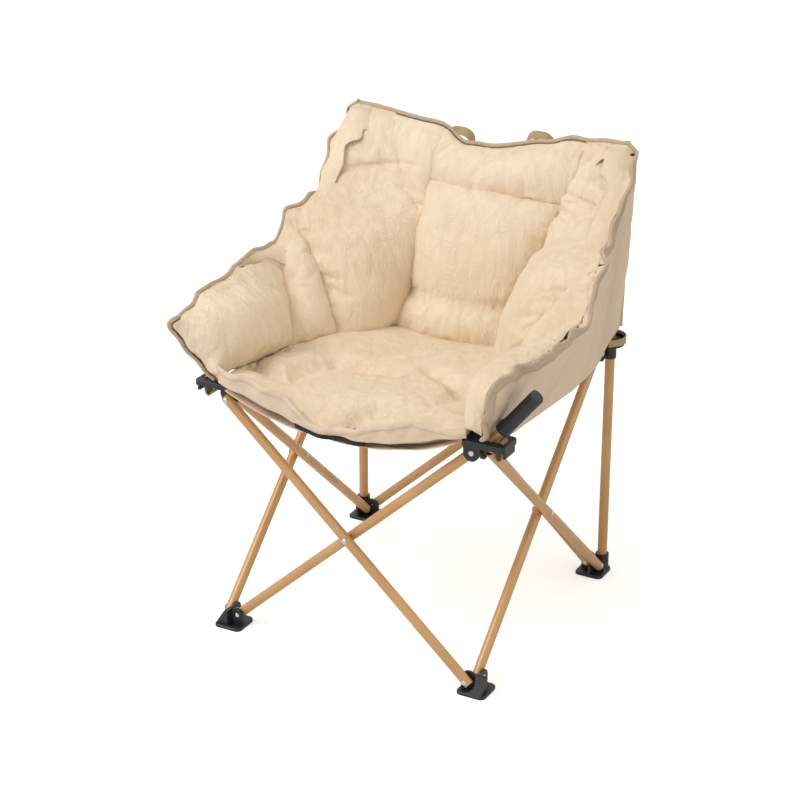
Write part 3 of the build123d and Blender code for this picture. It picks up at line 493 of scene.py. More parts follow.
def build_wear() -> bpy.types.NodeTree:
    """Handling marks: soft scuffs and specks as two masks, and a fine grain."""
    board, given, sink = group_board("handling_marks", ("Amount",), ("Scuff", "Speck", "Grain"))
    place, amount = given["Place"], given["Amount"]
    scuff = board.span(board.clouds(place, 38.0, 6.0, 0.68, 0.9), 0.52, 0.74)
    speck = board.span(board.clouds(place, 640.0, 3.0, 0.6), 0.66, 0.74)
    board.wire(
        sink,
        Scuff=board.times(scuff, amount),
        Speck=board.times(speck, amount),
        Grain=board.clouds(place, 1900.0, 2.0, 0.5),
    )
    return board.tree


class Effects:
    """The shader groups that several finishes use, each built once."""

    def __init__(self) -> None:
        self.weave = build_weave()
        self.nap = build_nap()
        self.wear = build_wear()


class Coordinates(Enum):
    """Which coordinates a finish follows."""

    CLOTH = "UV"
    SOLID = "Object"


def new_material(name: str) -> tuple[bpy.types.Material, Board, bpy.types.Node, Callable]:
    """An empty material, its board, its shader and a function that gives its coordinates."""
    material = bpy.data.materials.new(name)
    material.use_nodes = True
    material.node_tree.nodes.clear()
    board = Board(material.node_tree)
    shader = board.put("ShaderNodeBsdfPrincipled")
    board.put("ShaderNodeOutputMaterial", Surface=shader.outputs[0])
    source = board.put("ShaderNodeTexCoord")
    return material, board, shader, lambda kind: source.outputs[kind.value]


@dataclass(frozen=True)
class Liner:
    """The soft brushed cloth of the pads."""

    name: str
    colour: Colour
    shade: Colour
    crinkle: float = 0.9
    bump: float = 0.0019

    def build(self, effects: Effects) -> bpy.types.Material:
        """The finish as a material."""
        material, board, shader, where = new_material(self.name)
        colour, shade = linear(self.colour), linear(self.shade)
        nap = board.group(effects.nap, Place=where(Coordinates.SOLID), Crinkle=self.crinkle)
        tint = board.blend(board.span(nap["Patch"], 0.32, 0.68), shade, colour)
        board.wire(
            shader,
            Base_Color=board.blend(board.span(nap["Tint"], 0.3, 0.75, 0.0, 0.16), tint, shade),
            Roughness=board.span(nap["Patch"], 0.3, 0.7, 0.82, 0.95),
            Sheen_Weight=0.18,
            Sheen_Roughness=0.45,
            Sheen_Tint=colour,
            Specular_IOR_Level=0.25,
        )
        board.relief(shader, nap["Height"], self.bump)
        return material


@dataclass(frozen=True)
class Woven:
    """A woven cloth or webbing whose threads follow the cloth."""

    name: str
    colour: Colour
    shade: Colour
    threads: float
    bump: float
    roughness: float = 0.8
    sheen: float = 0.12
    slub: float = 0.35

    def build(self, effects: Effects) -> bpy.types.Material:
        """The finish as a material."""
        material, board, shader, where = new_material(self.name)
        solid = where(Coordinates.SOLID)
        weave = board.group(
            effects.weave,
            Place=where(Coordinates.CLOTH),
            Threads_per_metre=self.threads,
            Slub=self.slub,
        )
        wear = board.group(effects.wear, Place=solid, Amount=0.35)
        patch = board.clouds(solid, 9.0, 4.0, 0.6, 0.5)
        colour = linear(self.colour)
        threads = board.blend(
            board.span(weave["Tint"], 0.15, 0.9), linear(self.shade), colour
        )
        faded = board.blend(board.span(patch, 0.3, 0.7, 0.0, 0.35), threads, colour)
        paler = linear(tuple(min(255, channel + 16) for channel in self.colour))
        board.wire(
            shader,
            Base_Color=board.blend(wear["Scuff"], faded, paler),
            Roughness=board.span(patch, 0.3, 0.7, self.roughness - 0.05, self.roughness + 0.07),
            Sheen_Weight=self.sheen,
            Specular_IOR_Level=0.3,
        )
        creases = board.times(board.clouds(solid, 46.0, 5.0, 0.6, 0.9), 2.4)
        board.relief(shader, board.sum("ADD", weave["Height"], creases), self.bump)
        return material


@dataclass(frozen=True)
class PowderCoat:
    """Satin powder coat on steel tube, with fine metallic flake and rubbed spots."""

    name: str
    colour: Colour
    shade: Colour
    metallic: float = 0.25
    roughness: float = 0.38

    def build(self, effects: Effects) -> bpy.types.Material:
        """The finish as a material."""
        material, board, shader, where = new_material(self.name)
        place, shade = where(Coordinates.SOLID), linear(self.shade)
        wear = board.group(effects.wear, Place=place, Amount=0.5)
        drift = board.span(board.clouds(place, 14.0, 3.0, 0.5), 0.3, 0.7)
        base = board.blend(drift, linear(self.colour), shade)
        flake = board.blend(board.times(wear["Speck"], 0.7), base, linear((236, 204, 156)))
        board.wire(
            shader,
            Base_Color=board.blend(board.times(wear["Scuff"], 0.3), flake, shade),
            Roughness=board.span(wear["Scuff"], 0.0, 0.5, self.roughness, self.roughness + 0.16),
            Metallic=self.metallic,
            Coat_Weight=0.35,
            Coat_Roughness=0.22,
        )
        orange_peel = board.times(board.clouds(place, 420.0, 2.0, 0.5), 1.6)
        board.relief(shader, board.sum("ADD", wear["Grain"], orange_peel), 0.00009)
        return material


@dataclass(frozen=True)
class Rubbed:
    """A plain hard surface, plastic or plated steel, with a fine grain and rubbed places."""

    name: str
    colour: Colour
    rubbed: Colour
    roughness: float
    grain: float = 0.00016
    amount: float = 0.6
    scuffed: tuple[float, float] = (0.6, 0.18)  # where it is roughest, and how much rougher
    metallic: float = 0.0

    def build(self, effects: Effects) -> bpy.types.Material:
        """The finish as a material."""
        material, board, shader, where = new_material(self.name)
        wear = board.group(effects.wear, Place=where(Coordinates.SOLID), Amount=self.amount)
        most, more = self.scuffed
        board.wire(
            shader,
            Base_Color=board.blend(wear["Scuff"], linear(self.colour), linear(self.rubbed)),
            Roughness=board.span(wear["Scuff"], 0.0, most, self.roughness, self.roughness + more),
            Metallic=self.metallic,
        )
        board.relief(shader, wear["Grain"], self.grain)
        return material


FINISHES = {
    "liner": Liner("liner_cloth", (240, 224, 201), (231, 210, 182)),
    "canvas": Woven("shell_canvas", (234, 213, 190), (218, 195, 170), 1150.0, 0.00028),
    # the hem is the panels' own canvas given darker colours: painted shade on the folded hem
    "hem": Woven("hem_canvas", (222, 198, 172), (202, 176, 149), 1150.0, 0.00045),
    "webbing": Woven("khaki_webbing", (196, 170, 128), (158, 132, 92), 620.0, 0.00055, 0.72),
    "binding": Woven("black_binding", (34, 34, 38), (20, 20, 23), 900.0, 0.0003, 0.75, 0.08),
    "thread": Woven("sewing_thread", (222, 204, 178), (196, 176, 148), 3000.0, 0.0001, 0.65),
    "gold": PowderCoat("gold_powder_coat", (202, 158, 106), (188, 144, 94)),
    "plastic": Rubbed("black_plastic", (27, 29, 36), (62, 65, 74), 0.42),
    "sleeve": Rubbed("grey_sleeve", (33, 35, 42), (58, 61, 69), 0.5, 0.0002),
    "steel": Rubbed(
        "plated_steel", (206, 206, 204), (150, 150, 148), 0.22, 0.00004, 0.5, (0.5, 0.28), 1.0
    ),
}
Materials = dict[str, bpy.types.Material]

FRAME_FINISHES = (  # a word in a frame node's name, and its finish and slot
    ("rivets", "steel", "rivet_steel"),
    ("pin", "steel", "rivet_steel"),
    ("cap", "plastic", "plastic_black"),
    ("sleeve", "sleeve", "sleeve_grey"),
    ("foot", "plastic", "plastic_black"),
    ("hub", "plastic", "plastic_black"),
    ("slider", "plastic", "plastic_black"),
    ("leg", "gold", "tube_gold"),
    ("upright", "gold", "tube_gold"),
    ("post", "gold", "tube_gold"),
)


def dress_frame(materials: Materials) -> None:
    """Give every carried-over node of the frame its finish."""
    for name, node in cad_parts.items():
        for word, finish, slot in FRAME_FINISHES:
            if word in name:
                node.data.materials.clear()
                node.data.materials.append(materials[finish])
                log.info("%s: %s", name, slot)
                break


# ---------------------------------------------------------------- stitches
ZIGZAG = {"pitch": 0.0042, "slant": 0.75}  # a row's settings in Stitcher.sew
STRAIGHT = {"pitch": 0.0058, "slant": 0.03}


class Stitcher:
    """Rows of stitches: a Geometry Nodes tree sets one stitch after another along a seam."""

    def __init__(self, thread: bpy.types.Material) -> None:
        self.thread = thread
        self.tree = self.build_tree()

    def build_tree(self) -> bpy.types.NodeTree:
        """The tree, with the seam's polyline as its geometry and named inputs for its sizes."""
        tree = bpy.data.node_groups.new("stitch_row", "GeometryNodeTree")
        sizes = dict.fromkeys(("Pitch", "Length", "Thickness", "Slant"), "Float")
        given_kinds = {"Geometry": "Geometry", **sizes, "Seed": "Int", "Thread": "Material"}
        open_sockets(tree, "INPUT", given_kinds)
        open_sockets(tree, "OUTPUT", {"Geometry": "Geometry"})
        board = Board(tree)
        given = board.put("NodeGroupInput").outputs
        seam = board.put("GeometryNodeMeshToCurve", Mesh=given["Geometry"])
        points = board.put(
            "GeometryNodeResampleCurve",
            {"mode": "LENGTH"},
            Curve=seam.outputs[0],
            Length=given["Pitch"],
        )
        grain = board.put("GeometryNodeMeshUVSphere", Segments=6, Rings=4, Radius=0.5)
        thick = given["Thickness"]
        size = board.put("ShaderNodeCombineXYZ", X=given["Length"], Y=thick, Z=thick)
        stitch = board.put(
            "GeometryNodeTransform", Geometry=grain.outputs["Mesh"], Scale=size.outputs[0]
        )
        facing = board.put(
            "GeometryNodeInputNamedAttribute", {"data_type": "FLOAT_VECTOR"}, Name="facing"
        )
        lie = board.put(
            "FunctionNodeAlignRotationToVector",
            {"axis": "X"},
            Vector=board.put("GeometryNodeInputTangent").outputs[0],
        )
        face = board.put(
            "FunctionNodeAlignRotationToVector",
            {"axis": "Z", "pivot_axis": "X"},
            Rotation=lie.outputs[0],
            Vector=facing.outputs[0],
        )
        odd = board.sum("MODULO", board.put("GeometryNodeInputIndex").outputs[0], 2.0)
        sign = board.sum("SUBTRACT", board.times(odd, 2.0), 1.0)
        stray = board.put(
            "FunctionNodeRandomValue",
            {"data_type": "FLOAT"},
            Min=-0.08,
            Max=0.08,
            Seed=given["Seed"],
        )
        turn = board.sum("ADD", board.times(sign, given["Slant"]), stray.outputs[1])
        slanted = board.put("FunctionNodeAxisAngleToRotation", Axis=(0, 0, 1), Angle=turn)
        turned = board.put(
            "FunctionNodeRotateRotation",
            {"rotation_space": "LOCAL"},
            Rotation=face.outputs[0],
            Rotate_By=slanted.outputs[0],
        )
        row = board.put(
            "GeometryNodeInstanceOnPoints",
            Points=points.outputs[0],
            Instance=stitch.outputs[0],
            Rotation=turned.outputs[0],
        )
        real = board.put("GeometryNodeRealizeInstances", Geometry=row.outputs[0])
        dressed = board.put(
            "GeometryNodeSetMaterial", Geometry=real.outputs[0], Material=given["Thread"]
        )
        board.put("NodeGroupOutput", Geometry=dressed.outputs[0])
        return tree

    def sew(
        self,
        name: str,
        seams: Sequence[Seam],
        pitch: float,
        slant: float,
        length: float = 0.0042,
        thickness: float = 0.0006,
    ) -> bpy.types.Object:
        """Sew rows of stitches as one piece.

        Args:
            name: The piece's name.
            seams: For each row, its points and the ways its cloth faces there.
            pitch: From one stitch to the next.
            slant: Half the angle between neighbouring stitches.
            length: A stitch's length.
            thickness: The thread's thickness.

        Returns:
            The rows as plain mesh.
        """
        points = np.concatenate([seam for seam, _ in seams])
        ways = np.concatenate([facing for _, facing in seams])
        edges, start = [], 0
        for seam, _ in seams:
            edges += [(start + step, start + step + 1) for step in range(len(seam) - 1)]
            start += len(seam)
        mesh = bpy.data.meshes.new(name)
        mesh.from_pydata([tuple(row) for row in points], edges, [])
        attribute = mesh.attributes.new("facing", "FLOAT_VECTOR", "POINT")
        attribute.data.foreach_set("vector", ways.astype(np.float32).ravel())
        piece = link(bpy.data.objects.new(name, mesh))
        modifier = piece.modifiers.new("stitches", "NODES")
        modifier.node_group = self.tree
        values = {
            "Pitch": pitch,
            "Length": length,
            "Thickness": thickness,
            "Slant": slant,
            "Seed": len(name),
            "Thread": self.thread,
        }
        for item in self.tree.interface.items_tree:
            if item.in_out == "INPUT" and item.name in values:
                modifier[item.identifier] = values[item.name]
        return settle(piece)


# ---------------------------------------------------------------- the canvas shell
RUFFLE_LENGTHS = (0.141, 0.083, 0.057)  # the rim's waves in and out
RUFFLE_FADE = 0.032  # how far down they die away
LIFT_LENGTHS = (0.163, 0.089, 0.061)  # the rim's waves up and down
LIFT_FADE = 0.03
SLACK_HEIGHT = 0.0011  # slanting waves over the whole cloth
SLACK_LENGTHS = (0.083, 0.051, 0.029)
SLACK_SLANT = 0.55
END_START = 0.02  # the rim's waves die away towards its ends
END_FADE = 0.03
NORMAL_STEP = 0.0015
CORNER_RADIUS = 0.012  # of a front edge's upper corner
HEM_PITCH = 0.0032
PUCKER_LENGTHS = (0.0125, 0.0171, 0.0093, 0.0229)  # waves along a hem
ROLL_LENGTHS = (0.061, 0.038, 0.024)


@dataclass(frozen=True)
class HungCloth:
    """A panel of canvas as a surface: s runs along its rim and d down from it, in metres.

    turn is +1 where rim and fall turn towards the outside, and -1 where they turn inwards.
    """

    stations: tuple[tuple[Vector, Vector], ...]  # foot and rim point
    turn: int
    seed: int
    belly: float = 0.004
    ruffle: float = 0.0034
    lift: float = 0.0026
    front_edge: bool = False
    stand_off: float = 0.0021

    def tracks(self) -> tuple[float, Track, Track]:
        """The rim's length, and its foot and rim lines."""
        rims = np.array([tuple(rim) for _, rim in self.stations])
        feet = np.array([tuple(foot) for foot, _ in self.stations])
        knots = run_length(rims)
        return knots[-1], smooth_track(knots, feet), smooth_track(knots, rims)

    @property
    def length(self) -> float:
        """The rim's length."""
        return self.tracks()[0]

    def fall(self, along: np.ndarray) -> np.ndarray:
        """From rim to foot at places along the rim."""
        _, foot, rim = self.tracks()
        return np.linalg.norm(rim(along) - foot(along), axis=-1)

    def at(self, along: np.ndarray, down: np.ndarray) -> np.ndarray:
        """Points of the outer face, with its waves."""
        length, foot_track, rim_track = self.tracks()
        foot, rim = foot_track(along), rim_track(along)
        fall = np.linalg.norm(rim - foot, axis=-1)
        way = (foot - rim) / fall[..., None]
        ahead = rim_track(along + EDGE_PITCH) - rim_track(along - EDGE_PITCH)
        outward = unit(np.cross(ahead, way)) * self.turn
        share = np.clip(down / fall, 0, 1)
        edge = np.minimum(down, along) if self.front_edge else down
        place = along - down if self.front_edge else along
        near = np.exp(-np.maximum(edge, 0) / RUFFLE_FADE)
        ends = np.clip(np.minimum(along + END_START, length - along) / END_FADE, 0, 1)
        wave = Ripple(self.seed, self.ruffle, RUFFLE_LENGTHS)(place) * near * ends
        slant = along + SLACK_SLANT * down
        slack = Ripple(self.seed + 3, SLACK_HEIGHT, SLACK_LENGTHS)(slant)
        slack = slack * np.sin(math.pi * share) ** 0.7
        belly = self.belly * np.sin(math.pi * share)
        rise = Ripple(self.seed + 7, self.lift, LIFT_LENGTHS)(along)
        rise = rise * np.exp(-down / LIFT_FADE) * ends
        offset = self.stand_off + wave + slack + belly
        return rim + way * (down - rise)[..., None] + outward * offset[..., None]

    def normal(self, along: np.ndarray, down: np.ndarray) -> np.ndarray:
        """Ways that the outer face looks."""
        step = NORMAL_STEP
        ahead = self.at(along + step, down) - self.at(along - step, down)
        below = self.at(along, down + step) - self.at(along, down - step)
        return unit(np.cross(ahead, below)) * self.turn

    def panel(self, name: str, columns: int, rows: int) -> bpy.types.Object:
        """The panel as a closed sheet."""
        length = self.length
        along = np.linspace(0.0, length, columns)
        grid_along = np.repeat(along[:, None], rows, axis=1)
        grid_down = np.linspace(0, 1, rows)[None, :] * self.fall(along)[:, None]
        front = self.at(grid_along, grid_down)
        back = front - self.normal(grid_along, grid_down) * CANVAS_T
        flat = np.stack([grid_along, grid_down], axis=-1)
        return sheet_of_cloth(name, front, back, flat)

    def edge_path(self, pitch: float = EDGE_PITCH) -> Seam:
        """The panel's open edge as (s, d) places and the ways into the cloth from them."""
        length = self.length
        if not self.front_edge:
            along = np.linspace(0.0, length, int(length / pitch))
            places = np.stack([along, np.zeros_like(along)], axis=1)
            return places, np.tile([0.0, 1.0], (len(along), 1))
        radius = CORNER_RADIUS
        fall = float(self.fall(np.array([0.0]))[0])
        down = np.linspace(fall, radius, int((fall - radius) / pitch))
        turn = np.linspace(0, math.pi / 2, 7)[1:-1]
        along = np.linspace(radius, length, int((length - radius) / pitch))
        places = np.concatenate(
            [
                np.stack([np.zeros_like(down), down], axis=1),
                np.stack([radius - radius * np.cos(turn), radius - radius * np.sin(turn)], axis=1),
                np.stack([along, np.zeros_like(along)], axis=1),
            ]
        )
        ways = np.concatenate(
            [
                np.tile([1.0, 0.0], (len(down), 1)),
                np.stack([np.cos(turn), np.sin(turn)], axis=1),
                np.tile([0.0, 1.0], (len(along), 1)),
            ]
        )
        return places, ways

    def on_edge(
        self, places: np.ndarray, ways: np.ndarray, inset: np.ndarray, offset: np.ndarray
    ) -> np.ndarray:
        """Points at an inset from the edge and an offset from the outer face."""
        spot = places + ways * np.maximum(inset, 0.0)[..., None]
        base = self.at(spot[..., 0], spot[..., 1])
        out = self.normal(spot[..., 0], spot[..., 1])
        inner = places + ways * 0.002
        start = self.at(places[..., 0], places[..., 1])
        tip = unit(start - self.at(inner[..., 0], inner[..., 1]))
        return base + out * offset[..., None] + tip * np.maximum(-inset, 0.0)[..., None]

    def hem(self, name: str, width: float = HEM_W) -> bpy.types.Object:
        """The folded hem that wraps the edge, crinkled along its length."""
        places, ways = self.edge_path(HEM_PITCH)
        profile = (
            (width, -0.0004),
            (width, 0.0009),
            (width - 0.0015, 0.0016),
            (width * 0.62, 0.0017),
            (width * 0.28, 0.0021),
            (0.0015, 0.0019),
            (-0.0012, 0.0010),
            (-0.0022, -0.0007),
            (-0.0014, -0.0026),
            (0.0012, -0.0036),
            (width * 0.14, -0.0036),
            (width * 0.24, -0.0029),
            (width * 0.25, -0.0014),
        )
        count = len(places)
        travel = run_length(places)
        pucker = Ripple(self.seed + 11, 0.00055, PUCKER_LENGTHS)(travel)
        roll = Ripple(self.seed + 13, 0.0012, ROLL_LENGTHS)(travel)
        rings = np.empty((count, len(profile), 3))
        flat = np.empty((count, len(profile), 2))
        run = 0.0
        for column, (inset, offset) in enumerate(profile):
            loose = np.clip(abs(inset) / width, 0, 1)
            puff = pucker * math.sin(math.pi * min(1.0, abs(inset) / width + 0.12))
            wander = inset + roll * loose * 0.6
            rings[:, column] = self.on_edge(
                places, ways, np.broadcast_to(wander, count), offset + puff * np.sign(offset)
            )
            if column:
                run += math.dist(profile[column], profile[column - 1])
            flat[:, column, 0] = travel
            flat[:, column, 1] = run
        return strip_round(name, rings, flat)

    def stitch_line(self, inset: float, offset: float) -> Seam:
        """A seam's points along the edge and the ways its cloth faces."""
        places, ways = self.edge_path()
        count = len(places)
        points = self.on_edge(places, ways, np.full(count, inset), np.full(count, offset))
        spot = places + ways * inset
        return points, self.normal(spot[:, 0], spot[:, 1])


# The shell's lines follow the solids' stations, with the steps and flares that the rim shows.
SIDE_FEET = (  # a rim point's place behind the middle, then its foot: (outboard, behind, height)
    (-0.301, 0.229, -0.241, 0.438),
    (-0.258, 0.232, -0.204, 0.436),
    (-0.215, 0.232, -0.180, 0.434),
    (-0.170, 0.230, -0.150, 0.407),
    (-0.100, 0.229, -0.100, 0.402),
    (0.010, 0.233, -0.045, 0.402),
    (0.040, 0.237, 0.010, 0.402),
    (0.068, 0.240, 0.062, 0.402),
    (0.116, 0.241, 0.112, 0.404),
    (0.158, 0.241, 0.154, 0.410),
    (0.196, 0.242, 0.192, 0.433),
    (0.226, 0.242, 0.222, 0.441),
    (0.242, 0.242, 0.240, 0.446),
)
SIDE_RIMS: dict[Side, tuple[Place, ...]] = {
    Side.LEFT: (
        (0.270, -0.301, 0.548), (0.275, -0.262, 0.546), (0.276, -0.224, 0.545),
        (0.276, -0.202, 0.563), (0.277, -0.165, 0.566), (0.277, -0.128, 0.564),
        (0.277, -0.090, 0.570), (0.276, -0.053, 0.577), (0.276, -0.010, 0.577),
        (0.275, 0.020, 0.574), (0.274, 0.036, 0.592), (0.272, 0.050, 0.612),
        (0.268, 0.070, 0.622), (0.265, 0.116, 0.625), (0.264, 0.148, 0.628),
        (0.264, 0.161, 0.654), (0.264, 0.176, 0.684), (0.264, 0.194, 0.706),
        (0.261, 0.214, 0.718), (0.253, 0.226, 0.724), (0.253, 0.233, 0.744),
        (0.243, 0.243, 0.757),
    ),
    Side.RIGHT: (
        (0.270, -0.301, 0.549), (0.276, -0.258, 0.556), (0.280, -0.215, 0.554),
        (0.284, -0.170, 0.550), (0.288, -0.100, 0.547), (0.289, -0.045, 0.550),
        (0.288, 0.010, 0.557), (0.284, 0.040, 0.586), (0.284, 0.068, 0.617),
        (0.274, 0.092, 0.624), (0.262, 0.114, 0.629), (0.262, 0.140, 0.637),
        (0.263, 0.158, 0.653), (0.265, 0.180, 0.690), (0.265, 0.200, 0.716),
        (0.264, 0.222, 0.738), (0.257, 0.237, 0.747), (0.243, 0.243, 0.757),
    ),
}
BACK_STATIONS = (  # X, distance behind the middle, height of foot and rim
    (-0.2455, 0.2430, 0.446, 0.757),
    (-0.160, 0.2460, 0.428, 0.746),
    (-0.082, 0.2490, 0.408, 0.736),
    (-0.038, 0.2500, 0.403, 0.712),
    (0.020, 0.2500, 0.402, 0.717),
    (0.064, 0.2490, 0.404, 0.729),
    (0.150, 0.2460, 0.426, 0.749),
    (0.2455, 0.2430, 0.446, 0.757),
)
BAND_STATIONS = (
    (-0.214, -0.2504, 0.441, 0.468),
    (-0.175, -0.2574, 0.435, 0.464),
    (-0.135, -0.2574, 0.423, 0.456),
    (-0.100, -0.2574, 0.413, 0.446),
    (-0.076, -0.2574, 0.406, 0.434),
    (-0.042, -0.2594, 0.401, 0.413),
    (-0.006, -0.2594, 0.399, 0.411),
    (0.045, -0.2594, 0.401, 0.424),
    (0.108, -0.2574, 0.412, 0.446),
    (0.138, -0.2574, 0.421, 0.454),
    (0.172, -0.2574, 0.432, 0.449),
    (0.214, -0.2504, 0.442, 0.455),
)


def side_stations(side: Side) -> tuple[tuple[Vector, Vector], ...]:
    """Foot and rim points of one side panel."""
    table = np.array(SIDE_FEET)
    stations = []
    for rim in SIDE_RIMS[side]:
        foot = tuple(float(np.interp(rim[1], table[:, 0], table[:, k])) for k in (1, 2, 3))
        stations.append((side.spot(foot), side.spot(rim)))
    return tuple(stations)


def across_stations(rows: Sequence[tuple[float, float, float, float]]) -> tuple:
    """Foot and rim points of a panel that runs across the chair."""
    return tuple(
        (Vector((x, CENTRE_Y + behind, low)), Vector((x, CENTRE_Y + behind, high)))
        for x, behind, low, high in rows
    )


def side_cloth(side: Side) -> HungCloth:
    """The surface of one side panel."""
    return HungCloth(
        side_stations(side), -side.value, 20 + side.value, ruffle=0.0042, front_edge=True
    )


def back_cloth() -> HungCloth:
    """The surface of the back panel."""
    return HungCloth(across_stations(BACK_STATIONS), 1, 31, ruffle=0.0022, lift=0.0018)


def band_cloth() -> HungCloth:
    """The surface of the front band."""
    return HungCloth(
        across_stations(BAND_STATIONS), -1, 43, belly=0.001, ruffle=0.0036, lift=0.0016
    )


@dataclass(frozen=True)
class Shell:
    """The canvas shell: two side panels, the back, the front band and the seat's canvas."""

    materials: Materials
    stitcher: Stitcher

    def hang_up(
        self,
        piece: bpy.types.Object,
        finish: str,
        hang: Hang,
        nodes: Sequence[str] = (),
    ) -> None:
        """Dress a finished piece and let it ride."""
        dress(piece, self.materials[finish], nodes)
        hang.carry(piece)

    def edged_panel(
        self, name: str, cloth: HungCloth, hang: Hang, node: str, grid: tuple[int, int]
    ) -> None:
        """A panel with its hem and the hem's stitches."""
        panel = cloth.panel(f"{name}_panel", *grid)
        hem = cloth.hem(f"{name}_hem")
        rows = [cloth.stitch_line(HEM_W - 0.0045, 0.0020), cloth.stitch_line(0.004, 0.0024)]
        zigzag = self.stitcher.sew(f"{name}_hem_zigzag", rows[:1], **ZIGZAG, length=0.0052)
        edge = self.stitcher.sew(f"{name}_hem_edge_stitch", rows[1:], **STRAIGHT)
        self.hang_up(panel, "canvas", hang, (node,))
        # the hem finish is the panels' canvas darkened as painted shade on the hem
        for piece, finish in ((hem, "hem"), (zigzag, "thread"), (edge, "thread")):
            self.hang_up(piece, finish, hang)

    def build_side(self, side: Side) -> None:
        """One side panel."""
        self.edged_panel(
            f"{side.word}_side",
            side_cloth(side),
            ARM_HANGS[side],
            f"{side.word}_side_canvas",
            (220, 64),
        )

    def build_back(self) -> None:
        """The back panel."""
        self.edged_panel(
            "back",
            back_cloth(),
            BACK_HANG,
            "back_canvas",
            (170, 80),
        )

    def build_band(self) -> None:
        """The band across the seat's front."""
        cloth = band_cloth()
        panel = cloth.panel("front_band_panel", 200, 12)
        hem = cloth.hem("front_band_hem", 0.0085)
        row = cloth.stitch_line(0.0062, 0.0020)
        zigzag = self.stitcher.sew("front_band_zigzag", [row], **ZIGZAG, length=0.0032)
        self.hang_up(panel, "canvas", BAND_HANG, ("front_band",))
        self.hang_up(hem, "canvas", BAND_HANG)
        self.hang_up(zigzag, "thread", BAND_HANG)

    def build_seat_cloth(self) -> None:
        """The canvas that hangs under the seat cushion."""
        front = (  # distance behind the middle, half width, height of the middle and of the sides
            (-0.256, 0.200, 0.391, 0.4325),
            (-0.232, 0.196, 0.385, 0.4325),
            (-0.190, 0.196, 0.382, 0.4320),
            (-0.160, 0.221, 0.380, 0.4160),
            (-0.125, 0.228, 0.378, 0.4050),
            (0.000, 0.232, 0.372, 0.4010),
            (0.146, 0.236, 0.363, 0.4030),
        )
        rear = (
            (0.146, 0.236, 0.363, 0.403),
            (0.190, 0.200, 0.380, 0.408),
            (0.242, 0.186, 0.402, 0.428),
        )
        self.under_sheet(
            "seat_canvas_sheet", front, SEAT_HANG, ("seat_canvas",)
        )
        self.under_sheet("rear_flap_sheet", rear, BACK_HANG, ())

    def under_sheet(
        self,
        name: str,
        rows: Sequence[tuple[float, ...]],
        hang: Hang,
        nodes: Sequence[str],
    ) -> None:
        """A sheet under the tub, sagging between its two sides."""
        knots = np.array([row[0] for row in rows])
        track = smooth_track(knots, np.array([row[1:] for row in rows]))
        behind = np.linspace(knots[0], knots[-1], max(12, int((knots[-1] - knots[0]) / 0.0045)))
        share = np.linspace(-1, 1, 92)
        half, middle, side = np.split(track(behind), 3, axis=1)
        place = behind[:, None] * 1.3 + share[None, :] * 0.1
        sag = Ripple(5, 0.0012, (0.11, 0.063, 0.037))(place)
        height = middle + (side - middle) * np.abs(share) ** 2.4 + sag * (1 - share**2)
        depth = np.broadcast_to(behind[:, None] + CENTRE_Y, height.shape)
        top = np.stack([half * share, depth, height], axis=-1)
        bottom = top - np.array([0, 0, CANVAS_T])
        piece = sheet_of_cloth(name, top, bottom, top[..., :2].copy())
        self.hang_up(piece, "canvas", hang, nodes)

    def build_binding(self) -> None:
        """The black tape under the front band."""
        cloth = band_cloth()
        length = cloth.length
        along = np.linspace(length * 0.33, length * 0.62, 90)
        fall = cloth.fall(along)
        profile = ((-0.001, 0.0006), (-0.001, -0.0018), (0.006, -0.0018), (0.006, 0.0006))
        rings = np.stack(
            [
                cloth.at(along, fall)
                + cloth.normal(along, fall) * offset
                - np.array([0, 0, 1.0]) * inset
                for inset, offset in profile
            ],
            axis=1,
        )
        run = np.array([0.0, 0.0024, 0.0094, 0.0118])
        flat = np.stack(
            [np.repeat(along[:, None], 4, axis=1), np.tile(run, (len(along), 1))], axis=-1
        )
        piece = strip_round("band_binding_tape", rings, flat)
        self.hang_up(piece, "binding", BAND_HANG, ("band_binding",))


# ---------------------------------------------------------------- webbing
@dataclass(frozen=True)
class Strap:
    """A flat strap of webbing swept along a path, with a rib along each selvedge."""

    name: str
    width: float
    thickness: float = 0.0019

    def sweep(self, path: np.ndarray, across: np.ndarray) -> bpy.types.Object:
        """Sweep the strap.

        Args:
            path: Points of its middle line.
            across: The way its width lies at each point.

        Returns:
            The strap as a closed mesh.
        """
        ahead = unit(np.gradient(path, axis=0))
        side = unit(across - ahead * np.sum(across * ahead, axis=1, keepdims=True))
        out = np.cross(ahead, side)
        half, thick = self.width / 2, self.thickness / 2
        rim = half * 0.86
        outline = [(-half, 0.0), (-half * 0.97, thick * 0.9)]
        outline += [(-rim, thick), (-rim * 0.9, thick * 0.8)]
        outline += [(x * half, thick * 0.8) for x in (-0.4, 0.0, 0.4)]
        outline += [(-x, y) for x, y in reversed(outline[:4])]
        outline += [(x, -y) for x, y in reversed(outline[1:-1])]
        rings = np.stack([path + side * x + out * y for x, y in outline], axis=1)
        travel = run_length(path)
        places = np.array([x for x, _ in outline])
        flat = np.stack(
            [
                np.repeat(travel[:, None], len(outline), axis=1),
                np.tile(places, (len(travel), 1)),
            ],
            axis=-1,
        )
        return strip_round(self.name, rings, flat)


